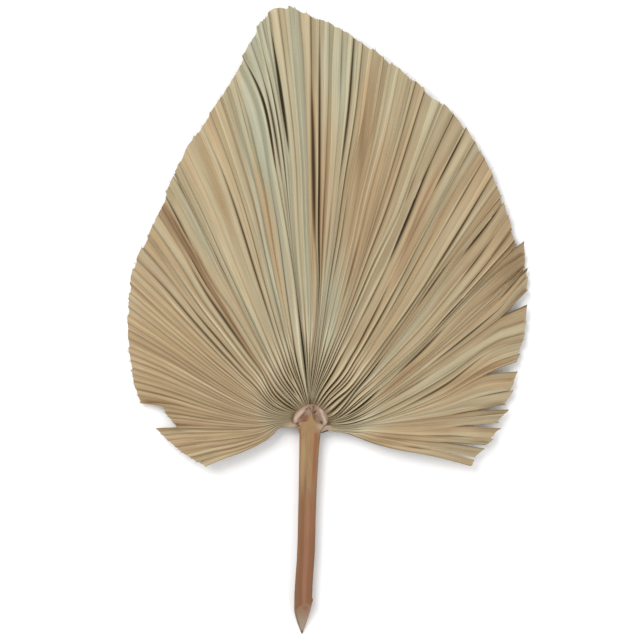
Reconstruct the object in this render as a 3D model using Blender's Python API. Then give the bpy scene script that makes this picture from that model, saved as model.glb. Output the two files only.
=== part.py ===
# A dried fan palm leaf, trimmed to a pointed heart and laid face up on a flat surface.
#
# The leaf is two bodies. The blade is one thin sheet folded into pleats that fan out from the hub. The
# petiole is the stem: it carries the hub, the two lobes of the hastula on the hub's face, and a short costa
# that runs on under the blade. The blade's inner edge butts against the hub and rests on the costa.
#
# Metres, +Z up, +Y from the hub towards the leaf's tip. The origin is under the middle of the hub, on the
# surface that the leaf lies on.

import math
import random

import bmesh
import bpy
from mathutils import Matrix, Vector

# The rim before any tears, from the lower left corner over the tip to the lower right corner.
RIM_POINTS = [
    (-0.0758, -0.0341), (-0.0956, -0.0223), (-0.1143, -0.0047), (-0.1244, 0.0133), (-0.1308, 0.0406),
    (-0.1333, 0.0672), (-0.1301, 0.1067), (-0.1193, 0.1333), (-0.1064, 0.1607), (-0.0891, 0.1944),
    (-0.0748, 0.2153), (-0.0568, 0.2433), (-0.0438, 0.2692), (-0.0352, 0.2857), (-0.0216, 0.2951),
    (-0.0043, 0.2908), (0.0208, 0.2793), (0.0496, 0.2613), (0.0819, 0.2361), (0.1071, 0.2138),
    (0.1287, 0.1822), (0.1452, 0.1456), (0.1545, 0.1125), (0.1553, 0.0780), (0.1488, 0.0349),
    (0.1359, -0.0047), (0.1164, -0.0327),
]
RIM_STEPS = 16

# The hub is an oval. The creases start crowded round its sides, and each one bows sideways before it
# straightens out towards the rim. Turns are measured from the +Y side, to the left and to the right.
HUB_HALF_WIDTH = 0.0119
HUB_HALF_LENGTH = 0.0093
START_TURN_LEFT = math.radians(141)
START_TURN_RIGHT = math.radians(131)
CROWDING_LEFT = math.radians(88)
CROWDING_RIGHT = math.radians(40)
MARGIN_TURN_LEFT = math.radians(26)
MARGIN_TURN_RIGHT = math.radians(16)
MARGIN_FROM = math.radians(88)
MARGIN_OVER = math.radians(24)
BOW_LEFT = 0.0080
BOW_RIGHT = 0.0087
BOW_RANGE = math.radians(127)
BOW_RISE = 0.7
BOW_FALL = 2.17
# Near the hub both margins of the blade are drawn in: by how much of the rim, where on the crease most, and
# over how much of the rim the creases beside them follow.
DRAWN_IN_LEFT = 0.050
DRAWN_IN_RIGHT = 0.036
DRAWN_IN_AT = 0.10
DRAWN_IN_POWER = 1.3
DRAWN_IN_OVER = 0.07

# Where the blade is split or torn at its rim: the rim fraction, the fraction of the crease that is still
# whole, the width of the gap at the rim, and how far along the crease the blade reaches on either side.
SPLITS = [
    (0.0070, 0.94, 0.0012, 0.995, 1.000),
    (0.0565, 0.80, 0.0006, 1.000, 0.845),
    (0.0830, 0.80, 0.0006, 0.850, 1.000),
    (0.2817, 0.94, 0.0004, 0.985, 1.000),
    (0.2977, 0.88, 0.0018, 1.000, 1.000),
    (0.6770, 0.88, 0.0004, 1.000, 1.000),
    (0.7900, 0.94, 0.0030, 0.975, 1.015),
    (0.8400, 0.87, 0.0110, 1.000, 1.000),
    (0.8800, 0.84, 0.0008, 1.000, 1.000),
    (0.9030, 0.80, 0.0085, 0.985, 1.010),
    (0.9250, 0.84, 0.0010, 0.985, 1.010),
    (0.9400, 0.80, 0.0055, 0.980, 1.015),
    (0.9580, 0.76, 0.0050, 0.985, 1.015),
    (0.9710, 0.74, 0.0012, 0.990, 1.010),
    (0.9800, 0.70, 0.0038, 0.990, 1.005),
    (0.9920, 0.68, 0.0026, 0.985, 1.000),
]

# Pleats: their width at the rim as a fraction of its length, at some places along it, and how steep they
# fold.
PLEAT_WIDTHS = [(0.0, 0.0088), (0.20, 0.0086), (0.26, 0.0118), (0.45, 0.0112), (0.60, 0.0128), (1.0, 0.0112)]
PLEAT_SLOPES = [(0.0, 0.34), (0.19, 0.42), (0.24, 0.85), (0.48, 1.05), (0.84, 0.95), (0.93, 0.50),
                (1.0, 0.42)]
# Beside the hub the sheet is fused and nearly flat: the fraction of the crease over which the folds rise.
FUSED_OVER = [(0.0, 0.20), (0.20, 0.16), (0.30, 0.03), (0.70, 0.03), (0.84, 0.10), (1.0, 0.14)]
PLEAT_WIDTH_SPREAD = 0.28
RIDGE_PLACE_SPREAD = 0.16
RIM_TRIM_SPREAD = 0.004
SEED = 11

# Deep valleys where the leaf has dried with a gap between two pleats: rim fraction and extra depth.
DEEP_VALLEYS = [(0.2150, 0.0012), (0.2600, 0.0016), (0.3540, 0.0012), (0.4470, 0.0020), (0.4670, 0.0016),
                (0.5080, 0.0020), (0.5520, 0.0012), (0.6560, 0.0016)]

# Fractions of a crease at which the sheet has a row of points.
ROWS = [0.0, 0.05, 0.11, 0.20, 0.33, 0.50, 0.66, 0.76, 0.86, 0.94, 1.0]
ROW_WHERE_TRIM_STARTS = 0.66

SHEET_THICKNESS = 0.0011
HUB_FACE_HEIGHT = 0.0088
BLADE_RISE = 0.0085
BLADE_RISE_OVER = 0.10
LEFT_DROOP = 0.0170
RIGHT_DROOP = 0.0150
MIDDLE_X = 0.0115
SIDE_REACH = 0.1450
TIP_DROOP = 0.0050
TIP_DROOP_AT = 0.30
WAVE_HEIGHT = 0.0010
WAVES_ROUND_FAN = 4.0

# The petiole, from its cut end to the hub: y, centre x, half width, thickness.
PETIOLE_STATIONS = [
    (-0.1570, -0.0058, 0.0070, 0.0080),
    (-0.1310, -0.0056, 0.0073, 0.0084),
    (-0.1165, -0.0050, 0.0069, 0.0084),
    (-0.0960, -0.0040, 0.0070, 0.0086),
    (-0.0615, -0.0029, 0.0067, 0.0088),
    (-0.0270, -0.0018, 0.0071, 0.0092),
    (-0.0105, -0.0007, 0.0077, 0.0096),
    (0.0045, 0.0000, 0.0079, 0.0098),
]
# One turn round the petiole: x in half widths and z in thicknesses. The underside is flat and the face is
# bevelled.
PETIOLE_SECTION = [
    (-0.22, 0.0), (0.22, 0.0), (0.66, 0.10), (0.94, 0.36), (1.0, 0.62), (0.88, 0.86),
    (0.40, 1.0), (-0.40, 1.0), (-0.88, 0.86), (-1.0, 0.62), (-0.94, 0.36), (-0.66, 0.10),
]
POINT_TIP = Vector((-0.0066, -0.1546, 0.0))
LEFT_CUT_NORMAL = Vector((-0.93, -0.33, 0.17))
RIGHT_CUT_NORMAL = Vector((0.95, -0.29, 0.20))

JOINT_GAP = 0.0003
HUB_BASE = 0.0030
HUB_TOP = 0.0100
HUB_SIDES = 28
# The petiole's face runs on over the hub and narrows to a point: y, half width, height of its face.
SPEAR_STATIONS = [(-0.0160, 0.0050, 0.0094), (-0.0070, 0.0060, 0.0106), (-0.0010, 0.0046, 0.0114),
                  (0.0045, 0.0026, 0.0114), (0.0086, 0.0009, 0.0106)]
SPEAR_BASE = 0.0060
SPEAR_SECTION = [(-1.0, 0.0), (1.0, 0.0), (0.92, 0.75), (0.45, 1.0), (-0.45, 1.0), (-0.92, 0.75)]
# The hastula has a lobe on either side of the face: centre x, centre y, half length, half width, half height
# and turn in degrees of its floor, then where its rolled rim starts and ends round the hub, in degrees.
LOBES = [
    (-0.0062, 0.0016, 0.0062, 0.0046, 0.0014, 50.0, 196.0, 118.0),
    (0.0064, 0.0004, 0.0072, 0.0048, 0.0015, -62.0, 62.0, -38.0),
]
LOBE_SEGMENTS = 20
LOBE_RINGS = 10
ROLL_RADIUS = 0.0015
ROLL_PLACE = 0.94
ROLL_STEPS = 9
ROLL_SIDES = 10
LOBE_SINK = 0.0002
# The costa under the blade: y, half width, bottom z.
COSTA_STATIONS = [(0.0010, 0.0060, 0.0008), (0.0110, 0.0052, 0.0016), (0.0230, 0.0038, 0.0044),
                  (0.0340, 0.0016, 0.0086)]
COSTA_HEADROOM = 0.0010


def smooth(value):
    """A smooth step from 0 at 0 to 1 at 1."""
    value = min(max(value, 0.0), 1.0)
    return value * value * (3.0 - 2.0 * value)


def read_off(table, place):
    """The value at a place in a table of (place, value) pairs, straight between them."""
    for (left, low), (right, high) in zip(table, table[1:]):
        if place <= right:
            return low + (high - low) * (place - left) / (right - left)
    return table[-1][1]


def rim_curve():
    """A smooth curve through the rim's points, as (distance along it, point) pairs."""
    points = [Vector(p) for p in RIM_POINTS]
    points = [2 * points[0] - points[1], *points, 2 * points[-1] - points[-2]]
    curve = []
    for before, start, end, after in zip(points, points[1:], points[2:], points[3:]):
        for step in range(RIM_STEPS):
            t = step / RIM_STEPS
            linear = (end - before) * t
            square = (2 * before - 5 * start + 4 * end - after) * t * t
            cube = (3 * start - before - 3 * end + after) * t ** 3
            curve.append(0.5 * (2 * start + linear + square + cube))
    curve.append(points[-2])
    walked = [0.0]
    for a, b in zip(curve, curve[1:]):
        walked.append(walked[-1] + (b - a).length)
    return [(distance / walked[-1], point) for distance, point in zip(walked, curve)]


RIM = rim_curve()


def rim_point(u):
    """The point at fraction u along the rim."""
    for (left, start), (right, end) in zip(RIM, RIM[1:]):
        if u <= right:
            return start.lerp(end, (u - left) / (right - left))
    return RIM[-1][1].copy()


def hub_point(angle, share):
    """A point on the hub's oval, or on a smaller one with the given share of its size."""
    return Vector((HUB_HALF_WIDTH * share * math.cos(angle), HUB_HALF_LENGTH * share * math.sin(angle)))


def start_turn(rim_turn):
    """How far round the hub a crease starts, from how far round the fan it ends. Left turns are positive."""
    turn = abs(rim_turn)
    if rim_turn > 0:
        most, crowding, margin = START_TURN_LEFT, CROWDING_LEFT, MARGIN_TURN_LEFT
    else:
        most, crowding, margin = START_TURN_RIGHT, CROWDING_RIGHT, MARGIN_TURN_RIGHT
    start = most * (1 - math.exp(-turn / crowding)) + margin * smooth((turn - MARGIN_FROM) / MARGIN_OVER)
    return math.copysign(start, rim_turn)


def drawn_in(u, v):
    """The rim fraction that the crease of rim fraction u heads for at v: beside the margins it curves in."""
    pull = (v / DRAWN_IN_AT * math.exp(1 - v / DRAWN_IN_AT)) ** DRAWN_IN_POWER
    left = DRAWN_IN_LEFT * math.exp(-u / DRAWN_IN_OVER)
    right = DRAWN_IN_RIGHT * math.exp((u - 1) / DRAWN_IN_OVER)
    return u + pull * (left - right)


def crease_point(u, v):
    """Where the crease that ends at rim fraction u is, at fraction v of the way out from the hub."""
    end = rim_point(drawn_in(u, v))
    angle = math.atan2(end.y, end.x) % (2 * math.pi)
    if angle > 1.5 * math.pi:
        angle -= 2 * math.pi
    from_top = angle - math.pi / 2
    start = hub_point(math.pi / 2 + start_turn(from_top), 1.0)
    bow = (BOW_LEFT if from_top > 0 else BOW_RIGHT) * math.sin(math.pi * from_top / BOW_RANGE)
    peak = BOW_RISE / (BOW_RISE + BOW_FALL)
    most = peak ** BOW_RISE * (1 - peak) ** BOW_FALL
    share = v ** BOW_RISE * max(1 - v, 0.0) ** BOW_FALL / most
    along = (end - start).normalized()
    sideways = Vector((-along.y, along.x))
    return start.lerp(end, v) + sideways * bow * share


def sheet_height(point):
    """The height of the blade's middle surface with its pleats ironed out."""
    rise = BLADE_RISE * smooth(point.length / BLADE_RISE_OVER)
    side = (LEFT_DROOP if point.x < MIDDLE_X else RIGHT_DROOP) * ((point.x - MIDDLE_X) / SIDE_REACH) ** 2
    tip = TIP_DROOP * max(point.y / TIP_DROOP_AT, 0.0) ** 3
    fan_angle = math.atan2(point.y, point.x)
    wave = WAVE_HEIGHT * math.sin(WAVES_ROUND_FAN * fan_angle) * smooth(point.length / BLADE_RISE_OVER)
    return HUB_FACE_HEIGHT + rise - side - tip + wave


def pleat_valleys():
    """The rim fractions of the valleys. Each split and each deep valley lies exactly on one."""
    random.seed(SEED)
    fixed = sorted({0.0, 1.0, *(split[0] for split in SPLITS), *(valley[0] for valley in DEEP_VALLEYS)})
    valleys = [0.0]
    for start, end in zip(fixed, fixed[1:]):
        count = max(1, round((end - start) / read_off(PLEAT_WIDTHS, (start + end) / 2)))
        widths = [random.uniform(1 - PLEAT_WIDTH_SPREAD, 1 + PLEAT_WIDTH_SPREAD) for _ in range(count)]
        for number in range(1, count + 1):
            valleys.append(start + (end - start) * sum(widths[:number]) / sum(widths))
    return valleys


def crease_columns():
    """The creases as (rim fraction, +1 on a ridge or -1 in a valley, extra depth), left to right."""
    valleys = pleat_valleys()
    deep = dict(DEEP_VALLEYS)
    columns = []
    for left, right in zip(valleys, valleys[1:]):
        columns.append((left, -1, deep.get(left, 0.0)))
        place = random.uniform(0.5 - RIDGE_PLACE_SPREAD, 0.5 + RIDGE_PLACE_SPREAD)
        columns.append((left + (right - left) * place, 1, 0.0))
    columns.append((valleys[-1], -1, 0.0))
    return columns


def reach(u, side):
    """How far along its crease the blade goes at rim fraction u. Side is -1 or +1 beside a split."""
    before = [split for split in SPLITS if split[0] < u or (split[0] == u and side > 0)]
    after = [split for split in SPLITS if split[0] > u or (split[0] == u and side < 0)]
    left, low = (before[-1][0], before[-1][4]) if before else (0.0, 1.0)
    right, high = (after[0][0], after[0][3]) if after else (1.0, 1.0)
    return low + (high - low) * (u - left) / (right - left)


def nearest_row(v):
    """The number of the row nearest to fraction v of a crease."""
    return min(range(len(ROWS)), key=lambda row: abs(ROWS[row] - v))


def along_crease(v, limit):
    """Moves a row near the rim so that the last row is at the given limit."""
    if v <= ROW_WHERE_TRIM_STARTS:
        return v
    share = (v - ROW_WHERE_TRIM_STARTS) / (1 - ROW_WHERE_TRIM_STARTS)
    return ROW_WHERE_TRIM_STARTS + share * (limit - ROW_WHERE_TRIM_STARTS)


def blade_sheet():
    """The blade's upper side as a grid of triangles: a column for each crease, a row for each step out."""
    columns = crease_columns()
    trims = [random.uniform(-RIM_TRIM_SPREAD, RIM_TRIM_SPREAD) for _ in columns]
    bm = bmesh.new()
    bmesh.ops.create_grid(bm, x_segments=len(columns) - 1, y_segments=len(ROWS) - 1, size=1.0)
    column_layer = bm.verts.layers.int.new("column")
    row_layer = bm.verts.layers.int.new("row")
    for vert in bm.verts:
        vert[column_layer] = round((vert.co.x + 1) / 2 * (len(columns) - 1))
        vert[row_layer] = round((vert.co.y + 1) / 2 * (len(ROWS) - 1))
    bmesh.ops.triangulate(bm, faces=bm.faces[:], quad_method="FIXED")

    starts = {split[0]: nearest_row(split[1]) for split in SPLITS}
    gaps = {split[0]: split[2] for split in SPLITS}
    torn = []
    for edge in bm.edges:
        ends = edge.verts
        u = columns[ends[0][column_layer]][0]
        same_crease = ends[0][column_layer] == ends[1][column_layer]
        if same_crease and u in starts and min(vert[row_layer] for vert in ends) >= starts[u]:
            torn.append(edge)
    bmesh.ops.split_edges(bm, edges=torn)

    places = {}
    for vert in bm.verts:
        column, row = vert[column_layer], vert[row_layer]
        u, fold, extra = columns[column]
        across = [face.calc_center_median().x - vert.co.x for face in vert.link_faces]
        side = 1 if sum(across) > 0 else -1
        v = along_crease(ROWS[row], reach(u, side) + trims[column])
        place = crease_point(u, v)
        left = crease_point(columns[max(column - 1, 0)][0], v)
        right = crease_point(columns[min(column + 1, len(columns) - 1)][0], v)
        half_pleat = (right - left).length / 2
        height = sheet_height(place)
        slope = read_off(PLEAT_SLOPES, u) * smooth(0.2 + 0.8 * v / read_off(FUSED_OVER, u))
        height += 0.5 * fold * slope * half_pleat - extra * smooth(v / 0.5)
        if u in starts and row > starts[u]:
            opening = 0.5 * gaps[u] * (ROWS[row] - ROWS[starts[u]]) / (1 - ROWS[starts[u]])
            place += (right - left).normalized() * opening * side
        places[vert] = Vector((place.x, place.y, max(height, SHEET_THICKNESS)))
    for vert, place in places.items():
        vert.co = place
    bm.normal_update()
    if sum(face.normal.z for face in bm.faces) < 0:
        bmesh.ops.reverse_faces(bm, faces=bm.faces[:])
    return bm


def make_blade(material, collection):
    """The pleated blade: its upper side, and the same triangles again one thickness lower."""
    bm = blade_sheet()
    upper = bm.faces[:]
    lower = bmesh.ops.extrude_face_region(bm, geom=upper, use_keep_orig=True)["geom"]
    lower_verts = [item for item in lower if isinstance(item, bmesh.types.BMVert)]
    lower_faces = [item for item in lower if isinstance(item, bmesh.types.BMFace)]
    bmesh.ops.translate(bm, verts=lower_verts, vec=(0.0, 0.0, -SHEET_THICKNESS))
    bmesh.ops.reverse_faces(bm, faces=lower_faces)
    bmesh.ops.triangulate(bm, faces=[face for face in bm.faces if len(face.verts) > 3])
    bmesh.ops.recalc_face_normals(bm, faces=bm.faces[:])
    return mesh_object("blade", bm, material, collection)


def mesh_object(name, bm, material, collection):
    """A new object from a bmesh, in its collection, with its material."""
    mesh = bpy.data.meshes.new(name)
    bm.to_mesh(mesh)
    bm.free()
    mesh.materials.append(material)
    made = bpy.data.objects.new(name, mesh)
    collection.objects.link(made)
    return made


def lofted(sections):
    """A closed bmesh through rings of points, each ring with the same number of points."""
    bm = bmesh.new()
    rings = [[bm.verts.new(point) for point in section] for section in sections]
    for ring, following in zip(rings, rings[1:]):
        for number in range(len(ring)):
            after = (number + 1) % len(ring)
            bm.faces.new((ring[number], ring[after], following[after], following[number]))
    bm.faces.new(rings[0])
    bm.faces.new(rings[-1])
    bmesh.ops.recalc_face_normals(bm, faces=bm.faces[:])
    return bm


def petiole_beam():
    """The stem from its pointed end to the hub, with the two slanting cuts of a knife at its end."""
    sections = []
    for y, centre, half_width, thickness in PETIOLE_STATIONS:
        sections.append([Vector((centre + x * half_width, y, z * thickness)) for x, z in PETIOLE_SECTION])
    bm = lofted(sections)
    for normal in (LEFT_CUT_NORMAL, RIGHT_CUT_NORMAL):
        whole = bm.verts[:] + bm.edges[:] + bm.faces[:]
        cut = bmesh.ops.bisect_plane(bm, geom=whole, plane_co=POINT_TIP, plane_no=normal, clear_outer=True)
        edges = [item for item in cut["geom_cut"] if isinstance(item, bmesh.types.BMEdge)]
        bmesh.ops.holes_fill(bm, edges=edges)
    bmesh.ops.recalc_face_normals(bm, faces=bm.faces[:])
    return bm


def hub_puck():
    """The oval block that the blade's inner edge butts against."""
    bm = bmesh.new()
    bmesh.ops.create_cone(bm, cap_ends=True, segments=HUB_SIDES, radius1=1.0, radius2=1.0, depth=1.0)
    for vert in bm.verts:
        shrink = 1.0 if vert.co.z < 0 else 0.99
        vert.co.x *= (HUB_HALF_WIDTH - JOINT_GAP) * shrink
        vert.co.y *= (HUB_HALF_LENGTH - JOINT_GAP) * shrink
        vert.co.z = HUB_BASE if vert.co.z < 0 else HUB_TOP
    return bm


def level_bottom(bm, bottom):
    """Cuts away what lies lower than bottom and closes the cut."""
    whole = bm.verts[:] + bm.edges[:] + bm.faces[:]
    cut = bmesh.ops.bisect_plane(
        bm, geom=whole, plane_co=(0.0, 0.0, bottom), plane_no=(0.0, 0.0, -1.0), clear_outer=True
    )
    edges = [item for item in cut["geom_cut"] if isinstance(item, bmesh.types.BMEdge)]
    bmesh.ops.holes_fill(bm, edges=edges)
    return bm


def lobe_floor(x, y, half_length, half_width, half_height, turn, bottom):
    """The low bulge of one lobe, inside its rolled rim."""
    bm = bmesh.new()
    bmesh.ops.create_uvsphere(bm, u_segments=LOBE_SEGMENTS, v_segments=LOBE_RINGS, radius=1.0)
    size = Matrix.Diagonal((half_length, half_width, half_height, 1.0))
    turned = Matrix.Rotation(math.radians(turn), 4, "Z") @ size
    bmesh.ops.transform(bm, matrix=Matrix.Translation((x, y, HUB_TOP)) @ turned, verts=bm.verts[:])
    return level_bottom(bm, bottom)


def lobe_roll(start, end, bottom):
    """The rolled rim of one lobe: a tube round the edge of the hub, thin at both ends."""
    sections = []
    for step in range(ROLL_STEPS):
        share = step / (ROLL_STEPS - 1)
        angle = math.radians(start + (end - start) * share)
        middle = hub_point(angle, ROLL_PLACE)
        outwards = middle.normalized()
        radius = ROLL_RADIUS * (0.25 + 0.75 * math.sin(math.pi * share))
        ring = []
        for side in range(ROLL_SIDES):
            turn = 2 * math.pi * side / ROLL_SIDES
            place = middle + outwards * radius * math.cos(turn)
            ring.append(Vector((place.x, place.y, HUB_TOP + 0.0004 + radius * math.sin(turn))))
        sections.append(ring)
    return level_bottom(lofted(sections), bottom)


def hastula():
    """The two lobes on the hub's face. Their bottoms differ a little, so no two faces coincide."""
    pieces = []
    for number, (*floor, start, end) in enumerate(LOBES):
        bottom = HUB_TOP - LOBE_SINK
        pieces.append(lobe_floor(*floor, bottom + number * 0.00003))
        pieces.append(lobe_roll(start, end, bottom - 0.00003 - number * 0.00003))
    return pieces


def spear():
    """The pointed end of the petiole's face, between the lobes."""
    sections = []
    for y, half_width, top in SPEAR_STATIONS:
        depth = top - SPEAR_BASE
        sections.append([Vector((x * half_width, y, SPEAR_BASE + z * depth)) for x, z in SPEAR_SECTION])
    return level_bottom(lofted(sections), SPEAR_BASE + 0.0001)


def costa():
    """The rib that carries on from the petiole under the blade and thins to a point."""
    sections = []
    for y, half_width, bottom in COSTA_STATIONS:
        top = sheet_height(Vector((0.0, y))) - SHEET_THICKNESS - COSTA_HEADROOM
        depth = top - bottom
        ring = [(-1.0, 1.0), (-0.9, 0.45), (-0.35, 0.0), (0.35, 0.0), (0.9, 0.45), (1.0, 1.0)]
        sections.append([Vector((x * half_width, y, bottom + z * depth)) for x, z in ring])
    return lofted(sections)


def make_petiole(material, collection, tools):
    """The stem, hub, hastula and costa, joined in one body."""
    petiole = mesh_object("petiole", petiole_beam(), material, collection)
    pieces = [hub_puck(), costa(), spear(), *hastula()]
    for number, bm in enumerate(pieces):
        piece = mesh_object(f"petiole_piece_{number}", bm, material, tools)
        piece.hide_render = True
        piece.display_type = "WIRE"
    join = petiole.modifiers.new("join", "BOOLEAN")
    join.operation = "UNION"
    join.operand_type = "COLLECTION"
    join.collection = tools
    join.solver = "EXACT"
    graph = bpy.context.evaluated_depsgraph_get()
    joined = bpy.data.meshes.new_from_object(petiole.evaluated_get(graph))
    petiole.modifiers.clear()
    petiole.data = joined
    for piece in list(tools.objects):
        bpy.data.objects.remove(piece)
    return petiole


def plain_material(name, colour, roughness):
    """A matt surface of one colour."""
    material = bpy.data.materials.new(name)
    material.use_nodes = True
    shader = material.node_tree.nodes["Principled BSDF"]
    shader.inputs["Base Color"].default_value = (*colour, 1.0)
    shader.inputs["Roughness"].default_value = roughness
    shader.inputs["Metallic"].default_value = 0.0
    return material


def shade_smooth_where_round(made, limit):
    made.data.shade_smooth()
    made.data.set_sharp_from_angle(angle=math.radians(limit))


def main():
    for old in list(bpy.data.objects):
        bpy.data.objects.remove(old)
    leaf = bpy.data.collections.new("dried_fan_palm_leaf")
    tools = bpy.data.collections.new("joining_pieces")
    bpy.context.scene.collection.children.link(leaf)
    bpy.context.scene.collection.children.link(tools)
    straw = plain_material("straw", (0.52, 0.43, 0.27), 0.75)
    stem = plain_material("stem", (0.40, 0.22, 0.11), 0.60)
    make_blade(straw, leaf)
    petiole = make_petiole(stem, leaf, tools)
    shade_smooth_where_round(petiole, 30)


main()
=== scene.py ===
import math
import random
from functools import partial

import bmesh
import bpy
import numpy as np
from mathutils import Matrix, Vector


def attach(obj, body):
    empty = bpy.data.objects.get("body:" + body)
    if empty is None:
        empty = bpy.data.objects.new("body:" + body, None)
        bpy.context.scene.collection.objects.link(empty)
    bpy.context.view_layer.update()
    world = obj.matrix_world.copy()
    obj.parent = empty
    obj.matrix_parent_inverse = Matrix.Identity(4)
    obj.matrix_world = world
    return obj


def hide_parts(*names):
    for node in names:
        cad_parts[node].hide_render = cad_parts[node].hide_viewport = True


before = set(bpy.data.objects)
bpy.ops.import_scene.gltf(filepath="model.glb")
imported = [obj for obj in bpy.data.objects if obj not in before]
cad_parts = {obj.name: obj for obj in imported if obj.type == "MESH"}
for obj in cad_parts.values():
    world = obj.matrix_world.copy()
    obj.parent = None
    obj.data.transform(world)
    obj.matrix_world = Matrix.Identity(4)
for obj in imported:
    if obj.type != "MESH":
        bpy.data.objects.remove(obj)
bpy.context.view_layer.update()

# A dried fan palm leaf, lying face up and seen from straight above.
# +Y runs from the hub to the tip of the leaf, +X to the right, all in metres.

mm = 0.001


def smooth(value):
    value = np.clip(value, 0.0, 1.0)
    return value * value * (3.0 - 2.0 * value)


def hexColour(code):
    # sRGB hex to the linear values that the shaders want
    parts = [int(code[i:i + 2], 16) / 255 for i in (1, 3, 5)]
    return [p / 12.92 if p <= 0.04045 else ((p + 0.055) / 1.055) ** 2.4 for p in parts] + [1.0]


def palette(look):
    # the colours among a look's values
    return {name: hexColour(code) for name, code in look.items() if isinstance(code, str)}


def addNode(tree, kind, settings=None, inputs=None):
    # adds one node: settings are its properties, and its inputs, in order or by name, each take
    # a plain value, a socket or another node
    node = tree.nodes.new(kind)
    for name, value in (settings or {}).items():
        setattr(node, name, value)
    for socket, value in inputs.items() if isinstance(inputs, dict) else enumerate(inputs or []):
        if isinstance(value, bpy.types.Node):
            value = next(output for output in value.outputs if output.enabled)
        if isinstance(value, bpy.types.NodeSocket):
            tree.links.new(value, node.inputs[socket])
        else:
            node.inputs[socket].default_value = value
    return node


# the kinds and settings that are used most, as in add(*times, [width, height])
plus, minus, times, timesPlus, sine, backAndForth = (("ShaderNodeMath", {"operation": name}) for name in (
    "ADD", "SUBTRACT", "MULTIPLY", "MULTIPLY_ADD", "SINE", "PINGPONG"))
comeUp = ("ShaderNodeMapRange", {"interpolation_type": "SMOOTHSTEP"})    # from 0 to 1 between two values
scaled = ("ShaderNodeVectorMath", {"operation": "SCALE"})


def sheetMesh(name, points, faces):
    # a sheet with its upper side up
    mesh = bpy.data.meshes.new(name)
    mesh.from_pydata(points.tolist(), [], faces.tolist())
    mesh.update()
    if sum(face.normal.z for face in mesh.polygons) < 0:
        mesh.flip_normals()
    return mesh


def storeVectors(mesh, vectors):
    # three values for each point, which the trees and the shaders read
    for name, values in vectors.items():
        layer = mesh.attributes.new(name, "FLOAT_VECTOR", "POINT")
        layer.data.foreach_set("vector", values.astype(np.float32).ravel())


def newPiece(name, mesh):
    piece = bpy.data.objects.new(name, mesh)
    bpy.context.scene.collection.objects.link(piece)
    return piece


def bakeModifiers(piece):
    bpy.context.view_layer.update()
    graph = bpy.context.evaluated_depsgraph_get()
    shaped = piece.evaluated_get(graph)
    mesh = bpy.data.meshes.new_from_object(shaped, preserve_all_data_layers=True, depsgraph=graph)
    piece.modifiers.clear()
    piece.data = mesh


def thicken(piece, thickness, sharpFrom):
    # gives a sheet its other side, below it, and keeps the folds from sharpFrom degrees up crisp
    wall = piece.modifiers.new("thickness", "SOLIDIFY")
    wall.thickness = thickness
    wall.offset = -1
    bakeModifiers(piece)
    piece.data.shade_smooth()
    piece.data.set_sharp_from_angle(angle=math.radians(sharpFrom))


def dress(piece, node):
    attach(piece, "root")
    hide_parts(node)


# The outline and the creases of the fan, the same rule as the solid leaf

fan = {
    "rim": [
        (-75.8, -34.1), (-95.6, -22.3), (-114.3, -4.7), (-124.4, 13.3), (-130.8, 40.6), (-133.3, 67.2),
        (-130.1, 106.7), (-119.3, 133.3), (-106.4, 160.7), (-89.1, 194.4), (-74.8, 215.3), (-56.8, 243.3),
        (-43.8, 269.2), (-35.2, 285.7), (-21.6, 295.1), (-4.3, 290.8), (20.8, 279.3), (49.6, 261.3),
        (81.9, 236.1), (107.1, 213.8), (128.7, 182.2), (145.2, 145.6), (154.5, 112.5), (155.3, 78.0),
        (148.8, 34.9), (135.9, -4.7), (116.4, -32.7),
    ],  # mm, from the lower left corner over the tip to the lower right corner
    "hubHalfWidth": 11.9 * mm,
    "hubHalfLength": 9.3 * mm,
    "startTurn": (141, 131),       # degrees round the hub, left and right
    "crowding": (88, 40),
    "marginTurn": (26, 16),
    "marginFrom": 88,
    "marginOver": 24,
    "bow": (8.0 * mm, 8.7 * mm),
    "bowRange": 127,
    "bowRise": 0.7,
    "bowFall": 2.17,
}


def through(points, steps, closed=False):
    # a smooth curve through the points, in any number of dimensions
    p = np.array(points, float)
    if closed:
        p = np.vstack([p[-1], p, p[:2]])
    else:
        p = np.vstack([2 * p[0] - p[1], p, 2 * p[-1] - p[-2]])
    t = (np.arange(steps) / steps)[:, None]
    runs = []
    for a, b, c, d in zip(p, p[1:], p[2:], p[3:]):
        run = 2 * b + (c - a) * t + (2 * a - 5 * b + 4 * c - d) * t ** 2 + (3 * b - a - 3 * c + d) * t ** 3
        runs.append(0.5 * run)
    return np.vstack(runs if closed else [*runs, p[-2:-1]])


rimCurve = through(fan["rim"], 24) * mm
rimPlaces = np.concatenate([[0], np.cumsum(np.hypot(*np.diff(rimCurve, axis=0).T))])
rimPlaces /= rimPlaces[-1]


def rimPoint(u):
    return np.stack([np.interp(u, rimPlaces, rimCurve[:, 0]), np.interp(u, rimPlaces, rimCurve[:, 1])], -1)


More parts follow.
